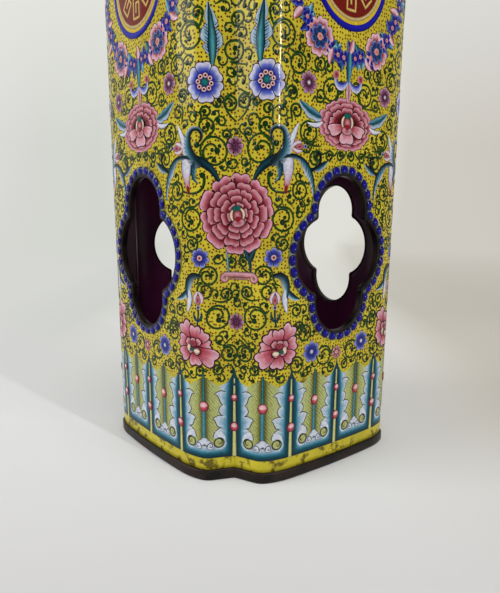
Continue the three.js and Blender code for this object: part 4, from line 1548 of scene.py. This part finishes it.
# %% [markdown]
# ## Lappet border
#
# Sixteen upright lappets stand on the yellow band. Each is a deep teal frame that fades to white
# acanthus lobes, round a pointed lime panel with a stem and a rose-coloured bead. A stem with two
# beads covers each joint between lappets.

# %% Lappet frame and panel
FRAME_STOPS = fade((0, 0, 36, 46), (1.5, 0, 56, 68), (2.5, 6, 86, 104), (3.4, 54, 128, 152),
                   (4.4, 122, 168, 192), (5.8, 186, 199, 214))
PANEL_STOPS = fade((0, 70, 72, 30), (1.1, 92, 94, 42), (1.7, 142, 144, 76), (2.7, 174, 178, 106),
                   (6.5, 182, 190, 128))
STEM_LIME = fade((-1, 96, 108, 60), (-0.4, 196, 196, 122), (0.4, 214, 212, 150), (1, 96, 108, 60))
ROSE_BEAD = fade((0, 206, 116, 128), (0.5, 186, 74, 90), (0.8, 150, 40, 58), (1, 70, 14, 28))
# Colours of the pale drop on the upper part of each rose bead: a painted highlight.
ROSE_BEAD_PAINTED_HIGHLIGHT = fade((0, 236, 212, 208), (0.5, 228, 184, 186), (1, 202, 118, 130))
INK = srgb(22, 34, 40)
TEAL_STEM = fade((-1, INK), (-0.55, 26, 92, 112), (0.2, 76, 148, 164), (0.6, 34, 104, 120),
                 (1, INK))
SPEAR = fade((-1, 12, 40, 44), (-0.3, 14, 70, 70), (0.1, 60, 130, 130), (0.4, 14, 70, 70),
             (1, 12, 40, 44))
LAPPET_FOOT, PANEL_FOOT = 9.6, 15.0
BLEND = 1.4  # how sharply the frame's side and foot colours meet


def lappet_frame(pen):
    """The frame: each point's distance from the joints and from the foot is the smaller of the two,
    smoothed at the corner, and narrows towards the tip. That distance gives the colour."""
    half = LAPPET_STEP / 2
    x = np.linspace(-half, half, 51)[None, :]
    share = np.linspace(0, 1, 38)[:, None]
    top = lappet_top(x + half)
    y = LAPPET_FOOT + (top - LAPPET_FOOT) * share
    slim = np.interp(y, [LAPPET_FOOT, 30, 40, 47], [1.0, 0.95, 0.72, 0.5])
    side = np.maximum(half - np.abs(x) - 0.3, 0) / slim
    foot = (y - LAPPET_FOOT) * 1.25
    reach = -np.log(np.exp(-side * BLEND) + np.exp(-foot * BLEND)) / BLEND
    pen.patch(x + 0 * y, y, 0.04, shade(FRAME_STOPS, np.maximum(reach, 0)))


def lime_panel(pen):
    """The panel: it narrows at its foot and its tip, its upper edge is the lappet's own edge, and
    it goes dark beside the stem. The paint's alpha gives its fine hatching, which comes and goes
    in slanting stripes and fades to the sides."""
    share = np.linspace(0, 1, 26)[:, None]
    half = np.interp(share, [0, 0.1, 0.25, 0.7, 0.84, 1], [6.2, 6.6, 8.2, 8.2, 7.0, 6.6])
    x = np.linspace(-1, 1, 25)[None, :] * half
    y = PANEL_FOOT + (lappet_top(x + LAPPET_STEP / 2) - PANEL_FOOT) * share
    stripes = 0.5 + 0.5 * np.sin(x * 9.0 + y * 2.1)
    hatch = np.clip(1.2 - np.abs(x) / 5.0, 0, 0.75) * (0.6 + 0.4 * stripes)
    pen.patch(x, y, 0.08, shade(PANEL_STOPS, np.abs(x)), hatch=hatch)


# %% Lappet lobes, volutes and stems
LOBE_EDGE = [((8.8, 37.6), (6.4, 39.2), (4.3, 36.9)),
             ((4.3, 36.9), (6.6, 36.9), (5.9, 33.2), (7.8, 32.2)),
             ((7.8, 32.2), (5.4, 31.6), (5.6, 28.6), (7.9, 27.6)),
             ((7.9, 27.6), (5.8, 28.7), (3.5, 26.6)),
             ((3.5, 26.6), (5.3, 26.2), (4.4, 22.4), (7.1, 22.8)),
             ((7.1, 22.8), (4.2, 21.8), (3.3, 19.6), (3.8, 17.6))]
LOBE_STOPS = fade((0, 208, 212, 222), (0.4, 184, 200, 214), (0.75, 116, 162, 186),
                  (1, 58, 124, 148))


def white_lobes(pen):
    """The frame's acanthus edge: one inked line runs from tip to tip of its lobes, and straight
    rulings join each point of it to the frame, at a height that falls with the line's length."""
    edge = np.concatenate([bezier(*handles, count=8)[:-1] for handles in LOBE_EDGE])
    run = np.cumsum(np.hypot(*np.gradient(edge, axis=0).T))
    behind = np.column_stack([np.full(len(edge), 9.5), 37.8 - 20.8 * run / run[-1]])
    share = np.linspace(0, 1, 5)[None, :]
    x, y = [edge[:, i:i + 1] * (1 - share) + behind[:, i:i + 1] * share for i in (0, 1)]
    pen.patch(x, y, 0.12, shade(LOBE_STOPS, share + 0 * x))
    stroke(pen, edge, 0.34, plain(INK), height=0.02, base=0.14, columns=(-1, 1))


def volute(pen, x, y):
    """A lime disc under an inked spiral, in a white rim, with a white lobe over it."""
    drop(pen, x + 0.4, y - 0.5, 2.9, rimmed(WHITE, srgb(120, 166, 190)), base=0.09, height=0.03)
    leaf(pen, bezier((x + 2.6, y + 0.4), (x + 1.6, y + 4.4), (x - 1.8, y + 5.0), count=12), 1.0,
         2.0, [(-1, WHITE), (1, WHITE)], layer=0.1, ink=INK)
    drop(pen, x, y, 2.1, fade((0, 150, 150, 80), (0.4, 176, 178, 106), (0.8, 192, 196, 130),
                              (1, INK)),
         base=0.12, height=0.05)
    stroke(pen, curl(x, y, 2.1, 100, -1.5, close=0.72), 0.5, plain(srgb(42, 52, 34)), height=0.03,
           base=0.16, columns=(-1, 0, 1))


# %% Stems and beads
def upright(low, high, count):
    """A straight path up the middle of a lappet or a joint."""
    return np.column_stack([np.zeros(count), np.linspace(low, high, count)])


def rose_bead(pen, y, radius):
    """A bead with a painted highlight: a smaller pale drop on its upper part makes it pale above
    and crimson below.
    """
    drop(pen, 0, y, radius, ROSE_BEAD, base=0.1, height=0.45, sides=14, rings=5, oval=(0.95, 1.06))
    drop(pen, 0, y + 0.26 * radius, 0.66 * radius, ROSE_BEAD_PAINTED_HIGHLIGHT, base=0.42, height=0.16,
         oval=(1.08, 0.94))


# %% Draw the lappets
def draw_lappet(pen):
    """One lappet about its own middle: frame, panel, lobes and curls on both sides, a cloud of
    three white drops, and a stem with a bead and a spear over it."""
    lappet_frame(pen)
    lime_panel(pen)
    for mirror in (-1, 1):
        side = pen.at(0, 0, mirror=mirror)
        white_lobes(side)
        volute(side, 6.1, 16.2)
        drop(side, 2.5, 15.0, 1.8, [(0, PALE), (0.35, WHITE), (0.84, WHITE), (1, INK)],
             base=0.12, height=0.08)
        stroke(side, curl(2.5, 15.0, 1.2, 200, -0.9, close=0.6), 0.35, plain(INK), height=0.02,
               base=0.19, columns=(-1, 0, 1))
    for x, y, radius in ((-1.3, 16.3, 1.5), (1.4, 16.4, 1.4), (0.1, 17.2, 1.7)):
        drop(pen, x, y, radius, fade((0, WHITE), (0.78, 196, 206, 220), (1, INK)), base=0.14,
             height=0.05)
    stroke(pen, upright(18.4, 31.0, 14), 2.2, TEAL_STEM, height=0.12,
           columns=(-1, -0.5, 0.2, 0.6, 1))
    stroke(pen, upright(33.0, 45.4, 14), np.linspace(2.5, 1.0, 14), SPEAR, height=0.12,
           columns=(-1, -0.4, 0.1, 0.5, 1))
    rose_bead(pen, 32.0, 2.2)


def draw_joint(pen):
    """The stem between two lappets, with its two beads and its sharp dark tip."""
    stroke(pen, upright(40.0, 47.4, 8), np.linspace(3.4, 0.3, 8),
           fade((-1, 8, 48, 60), (0, 20, 70, 80), (1, 8, 48, 60)))
    stem = upright(9.7, 43.0, 16)
    width = np.interp(stem[:, 1], [9.7, 20, 43], [1.9, 1.5, 0.7])
    stroke(pen, stem, width, STEM_LIME, height=0.1, base=0.05)
    rose_bead(pen, 35.0, 1.6)
    rose_bead(pen, 22.6, 2.05)


for name, flip in (("foot_lappets", False), ("mouth_lappets", True)):
    lappets = Drawing(name)
    for i in range(LAPPETS):  # the mouth's lappets are the foot's, upside down
        for draw, shift in ((draw_lappet, 0.5), (draw_joint, 1.0)):
            s = (i + shift) * LAPPET_STEP
            draw(Pen(lappets, lambda x, y: (s + x, HEIGHT - y if flip else y)))
    lappets.finish()

# %% [markdown]
# ## Bead borders
#
# Round each window runs a narrow dark band with 40 oval blue beads: thick drops, each with a
# painted glint.

# %% Bead borders
BEADS = 40
# The beads lie a little inside the band's middle, not quite touching, and lap over its edges.
BEADS_INWARD, BEAD_SPARE, BEAD_LAP = 0.05, 0.02, 0.08
# Colours of the small pale drop on each blue bead: a painted highlight.
BEAD_PAINTED_GLINT = fade((0, 196, 204, 220), (0.5, 120, 128, 190), (1, 10, 5, 140))
BEAD_BLUE = fade((0, 10, 5, 146), (0.55, 7, 2, 124), (0.85, 4, 1, 84), (1, 2, 2, 30))
BAND_STOPS = fade((0, 12, 12, 14), (0.22, 44, 52, 58), (0.5, 128, 138, 134), (0.85, 152, 158, 120),
                  (1, 84, 90, 34))


def border_track(grow, count):
    """Points and directions at even distances along the grown outline, from its running length."""
    outline = window_outline(grow)
    outline = np.concatenate([outline, outline[:1]])
    run = np.concatenate([[0], np.cumsum(np.hypot(*np.diff(outline, axis=0).T))])
    at = (np.arange(count) + 0.5) / count * run[-1]
    points = np.column_stack([np.interp(at, run, outline[:, i]) for i in range(2)])
    ahead = np.column_stack([np.interp((at + 0.4) % run[-1], run, outline[:, i]) for i in range(2)])
    return points, np.degrees(np.arctan2(*(ahead - points).T[::-1])), run[-1]


def draw_border(pen):
    """The band: outlines of the window grown step by step, each at its own height and tone. Then
    the beads, each with a painted glint, a painted highlight, on its upper side."""
    grows = EDGING + BORDER * np.array([-0.06, 0.06, 0.35, 0.7, 0.94, 1.0])
    rises = np.array([0.15, 0.5, 0.6, 0.58, 0.35, 0.02])
    tones = shade(BAND_STOPS, (grows - grows[0]) / np.ptp(grows))
    rings = np.stack([window_outline(g) for g in grows])
    paint = np.broadcast_to(tones[:, None, :], rings.shape[:2] + (3,))
    height = np.broadcast_to(rises[:, None], rings.shape[:2])
    pen.patch(rings[..., 0], rings[..., 1], height, paint, closed=True)
    points, turns, length = border_track(EDGING + BORDER / 2 - BEADS_INWARD, BEADS)
    half_bead = (length / BEADS / 2 - BEAD_SPARE, BORDER / 2 + BEAD_LAP)
    for (x, y), turn in zip(points, turns):
        at = pen.at(x, y, turn)
        drop(at, 0, 0, 1.0, BEAD_BLUE, height=0.6, base=0.5, oval=half_bead, sides=14, rings=5)
        # The glint is a painted highlight.
        drop(at, 0.35, 0.45, 0.4, BEAD_PAINTED_GLINT, height=0.03, base=1.06, sides=8, rings=3, oval=(0.5, 1.0))


beads = Drawing("enamel_beads")
for wall in range(4):
    draw_border(Pen(beads).at((wall + 0.5) * WALL, WINDOW_Z))
beads.finish("blue_enamel", stand_for="bead_border")

# %% [markdown]
# ## Rims and edgings
#
# The foot and the mouth are bound with strips of copper that have gone almost black, and a thin
# strip lines each window. Each is one closed profile carried along a line: round the plan curve
# for the rims, round the window's outline for the edgings. They stand where the CAD strips stand,
# with the facets gone.


# %% Foot and mouth rims
def quarter_round(out, z, radius, start, count=5):
    """Points of a rounding: centre plus radius times the cosine and sine over a quarter turn."""
    angle = start + np.linspace(0, np.pi / 2, count)
    return list(zip(out + radius * np.cos(angle), z + radius * np.sin(angle)))


def build_moulding(name, profile, node, samples=480):
    """A profile of (out of the wall, height) points, carried once round the tube."""
    out, z = np.array(profile).T
    s = (np.arange(samples) + 0.5) / samples * 4 * WALL
    points = lay_on_wall(s[:, None], z[None], out[None])
    piece = make_mesh(name, points.reshape(-1, 3), grid_faces(samples, len(out), True, True))
    piece.data.materials.append(COPPER)
    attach(piece, "root")
    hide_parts(node)
    print(name, "has", len(piece.data.polygons), "quads")


FOOT_STAND, FOOT_ROUND, FOOT_BORE = 0.9, 0.8, -2.4
LEDGE_BORE, LEDGE_FOOT, LEDGE_TOP = FOOT_BORE - 3.0, 2.0, 3.4
MOUTH_STAND, MOUTH_ROUND, MOUTH_BORE = 0.6, 1.2, -3.6
TONGUE_OUT, TONGUE_IN, TONGUE_DEPTH, TONGUE_BEVEL = -2.45, -3.45, 4.0, 0.5
build_moulding("foot_strip", [(FOOT_BORE, 0)]
               + quarter_round(FOOT_STAND - FOOT_ROUND, FOOT_ROUND, FOOT_ROUND, -np.pi / 2)
               + quarter_round(FOOT_STAND - FOOT_ROUND, FOOT_TOP - FOOT_ROUND, FOOT_ROUND, 0)
               + [(FOOT_BORE, FOOT_TOP), (FOOT_BORE, LEDGE_TOP), (LEDGE_BORE, LEDGE_TOP),
                  (LEDGE_BORE, LEDGE_FOOT), (FOOT_BORE, LEDGE_FOOT)], "foot_rim")
build_moulding("mouth_strip", [(MOUTH_STAND, WALL_TOP)]
               + quarter_round(MOUTH_STAND - MOUTH_ROUND, HEIGHT - MOUTH_ROUND, MOUTH_ROUND, 0)
               + [(MOUTH_BORE, HEIGHT), (MOUTH_BORE, WALL_TOP),
                  (TONGUE_IN, WALL_TOP - TONGUE_BEVEL),
                  (TONGUE_IN, WALL_TOP - TONGUE_DEPTH), (TONGUE_OUT, WALL_TOP - TONGUE_DEPTH),
                  (TONGUE_OUT, WALL_TOP)], "mouth_rim")


# %% Window edgings and base plate
def build_edging(index, name):
    """A strip with rounded lips: its profile's growth moves it across the window's outline, and
    its height moves it through the wall."""
    lip, stand = 0.2, 0.3
    grow = EDGING * np.array([1.0, 0.94, 0.7, 0.3, 0.06, 0.0, 0.0, 0.06, 0.3, 0.7, 0.94, 1.0])
    rise = np.array([stand - lip, stand - lip * 0.4, stand, stand, stand - lip * 0.4, stand - lip])
    height = np.concatenate([rise, -WALL_THICKNESS - rise[::-1]])
    rings = np.stack([window_outline(g) for g in grow])
    s = rings[..., 0] + (index + 0.5) * WALL
    points = lay_on_wall(s, rings[..., 1] + WINDOW_Z, height[:, None])
    piece = make_mesh("window_strip_" + name, points.reshape(-1, 3),
                      grid_faces(*s.shape, True, True))
    piece.data.materials.append(COPPER)
    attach(piece, "root")
    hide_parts("window_edging_" + name)


for wall_index, wall_name in enumerate(WALL_NAMES):
    build_edging(wall_index, wall_name)
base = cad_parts["base_plate"]
base.data.materials.clear()
base.data.materials.append(PLUM)
print("rims, edgings and base ready")

# %% [markdown]
# ## Floor, light and camera
#
# The stand is in a photographer's cove: pale paper that rises behind it in one sweep. A broad soft
# window stands low to the left, a narrow one to the right draws the bright line on the bend, and a
# weak light hangs above. Far behind the stand the paper glows in a pale colour for the camera and
# for mirrored rays, so the background stays pale and smooth without more light on the enamel. That
# glow and the floor's colour hold painted shade, darker to the right and near the camera, and a
# painted shadow to the right of the stand.


# %% Cove
CAMERA_AZIMUTH = np.radians(51.62)
# Paper colours: the grey near the camera is painted shade, the warm darker one a painted shadow.
FLOOR_NEAR_PAINTED_SHADE, FLOOR_COOL, FLOOR_PAINTED_SHADOW = srgb(220, 220, 221), srgb(247, 248, 249), srgb(224, 219, 208)
# Glow colours from left to right: their darker stretches are painted shade, the darkest, on the
# right, a painted shadow.
NEAR_GLOW_PAINTED_SHADE = fade((0, 214, 215, 212), (0.2, 208, 210, 205), (0.3, 218, 219, 213),
                 (0.7, 216, 215, 208), (0.8, 193, 189, 178), (1, 188, 184, 173))
LOW_GLOW_PAINTED_SHADE = fade((0, 219, 220, 217), (0.1, 213, 214, 209), (0.2, 210, 213, 206),
                (0.3, 221, 222, 215), (0.45, 223, 224, 218), (0.75, 223, 223, 215),
                (0.8, 207, 204, 195), (1, 203, 198, 190))
# The upper glow is darker on the right: painted shade.
HIGH_LEFT, HIGH_RIGHT_PAINTED_SHADE = srgb(229, 230, 224), srgb(218, 217, 212)


def paper_material():
    """Matt paper with painted shade: greyer close to the camera, and darker and warmer to the right
    of the stand, a painted shadow. Behind the stand, camera, mirrored and transmitted rays see a
    glow
    with painted shade: it goes from a cool left to a darker, warmer right, has a painted shadow low
    on the right, and pales upwards."""
    shader = Shader("pale_paper", Roughness=0.9)
    turned = shader.node("Mapping", Vector=shader.place, Rotation=(0, 0, -CAMERA_AZIMUTH))
    parts = shader.node("SeparateXYZ", turned.outputs["Vector"]).outputs

    def along(axis, low, high):
        """The share of the way from low to high along an axis."""
        return shader.ranged(parts[axis], low, high)

    floor = shader.mix(along("Y", -0.16, 0.0), FLOOR_NEAR_PAINTED_SHADE,
                       shader.mix(along("X", 0.05, 0.16), FLOOR_COOL, FLOOR_PAINTED_SHADOW))
    shader.feed(shader.main, Base_Color=floor)
    across = shader.mix(along("Y", 0.4, 2.4), along("X", -0.3, 0.3), along("X", -1.2, 1.2))
    near, low = shader.ramp(across, NEAR_GLOW_PAINTED_SHADE), shader.ramp(across, LOW_GLOW_PAINTED_SHADE)
    high = shader.mix(across, HIGH_LEFT, HIGH_RIGHT_PAINTED_SHADE)
    low = shader.mix(along("Y", 0.35, 1.3), near, low)
    glow = shader.node("Emission", shader.mix(along("Z", 0.4, 1.05), low, high), 1.0)
    rays = shader.node("LightPath").outputs
    first = shader.math("MAXIMUM", rays["Is Camera Ray"], rays["Is Glossy Ray"])
    seen = shader.math("MAXIMUM", first, rays["Is Transmission Ray"])
    share = shader.math("MULTIPLY", seen, along("Y", 0.0, 0.32))
    surface = shader.node("MixShader", share, shader.main.outputs["BSDF"], glow.outputs["Emission"])
    shader.feed(shader.nodes["Material Output"], surface.outputs["Shader"])
    return shader.material


# %% Build the cove
def build_cove(width=6.0, near=-3.0, reach=1.6, rise=3.0, bend=0.8, steps=24):
    """A floor that turns up through a quarter circle into a wall, square to the camera's view."""
    angle = np.linspace(0, np.pi / 2, steps)
    away = np.concatenate([[near], reach + bend * np.sin(angle), [reach + bend]])
    up = np.concatenate([[0.0], bend * (1 - np.cos(angle)), [rise]])
    across = np.array([-width, width])
    view = np.array([-np.sin(CAMERA_AZIMUTH), np.cos(CAMERA_AZIMUTH)])
    side = np.array([np.cos(CAMERA_AZIMUTH), np.sin(CAMERA_AZIMUTH)])
    ground = across[:, None, None] * side + away[None, :, None] * view
    heights = np.broadcast_to(up[None, :, None], ground.shape[:2] + (1,))
    points = np.concatenate([ground, heights], axis=2)
    cove = make_mesh("paper_cove", points.reshape(-1, 3), grid_faces(2, len(away)))
    cove.data.materials.append(paper_material())


build_cove()

# %% Camera
CAMERA_DISTANCE = 269.31
CAMERA_HEIGHT = 108.29
CAMERA_PITCH = np.radians(12.56)
CAMERA_YAW = np.radians(0.22)
CAMERA_ROLL = np.radians(0.30)
FOCAL_PIXELS = 546.8
CENTRE_ROW = 333.0
IMAGE_HEIGHT = 593
SENSOR = 36.0


def place_camera():
    """The camera looks along its azimuth plus yaw, tipped down by the pitch and rolled."""
    data = bpy.data.cameras.new("camera")
    camera = bpy.data.objects.new("camera", data)
    bpy.context.collection.objects.link(camera)
    turn = CAMERA_AZIMUTH + CAMERA_YAW
    forward = Vector((-np.sin(turn) * np.cos(CAMERA_PITCH), np.cos(turn) * np.cos(CAMERA_PITCH),
                      -np.sin(CAMERA_PITCH)))
    right = Vector((np.cos(turn), np.sin(turn), 0))
    up = right.cross(forward)
    cos, sin = np.cos(CAMERA_ROLL), np.sin(CAMERA_ROLL)
    right, up = cos * right + sin * up, cos * up - sin * right
    place = Vector((np.sin(CAMERA_AZIMUTH) * CAMERA_DISTANCE,
                    -np.cos(CAMERA_AZIMUTH) * CAMERA_DISTANCE, CAMERA_HEIGHT)) * MM
    facing = Matrix((right, up, -forward)).transposed()
    camera.matrix_world = Matrix.Translation(place) @ facing.to_4x4()
    data.sensor_fit = "VERTICAL"
    data.sensor_height = SENSOR
    data.lens = FOCAL_PIXELS / IMAGE_HEIGHT * SENSOR
    data.shift_y = (CENTRE_ROW - IMAGE_HEIGHT / 2) / IMAGE_HEIGHT
    data.clip_start = 0.01
    bpy.context.scene.camera = camera


place_camera()

# %% Light
LAMP_AIM = Vector((0, 0, 0.12))
# Name, place and size in metres, power in watts, colour.
LAMPS = [
    ("broad_window", (-0.68, -1.67, 0.95), (1.3, 1.0), 19, (0.99, 0.99, 1)),
    ("narrow_window", (1.607, 0.13, 0.8), (0.036, 0.9), 7.6, (1, 1, 1)),
    ("ceiling_light", (0.9, -0.15, 1.8), (1.8, 1.8), 14, (1, 0.98, 0.95)),
]
WORLD_COLOUR = (0.91, 0.91, 0.9, 1)
WORLD_ON_STAND, WORLD_AS_SEEN = 0.34, 0.77  # strengths: as light, and to the camera


def area_light(name, place, size, energy, colour):
    """A flat lamp that looks at the middle of the stand."""
    data = bpy.data.lights.new(name, "AREA")
    data.shape = "RECTANGLE"
    data.size, data.size_y = size
    data.energy, data.color = energy, colour
    lamp = bpy.data.objects.new(name, data)
    lamp.location = place
    lamp.rotation_euler = (LAMP_AIM - Vector(place)).to_track_quat("-Z", "Y").to_euler()
    bpy.context.collection.objects.link(lamp)


for lamp in LAMPS:
    area_light(*lamp)
world = bpy.data.worlds.new("surroundings")
world.use_nodes = True
background = world.node_tree.nodes["Background"]
background.inputs["Color"].default_value = WORLD_COLOUR
rays = world.node_tree.nodes.new("ShaderNodeLightPath")
level = world.node_tree.nodes.new("ShaderNodeMapRange")
level.inputs["To Min"].default_value = WORLD_ON_STAND
level.inputs["To Max"].default_value = WORLD_AS_SEEN
world.node_tree.links.new(rays.outputs["Is Camera Ray"], level.inputs["Value"])
world.node_tree.links.new(level.outputs["Result"], background.inputs["Strength"])
bpy.context.scene.world = world
bpy.context.scene.view_settings.view_transform = "Standard"
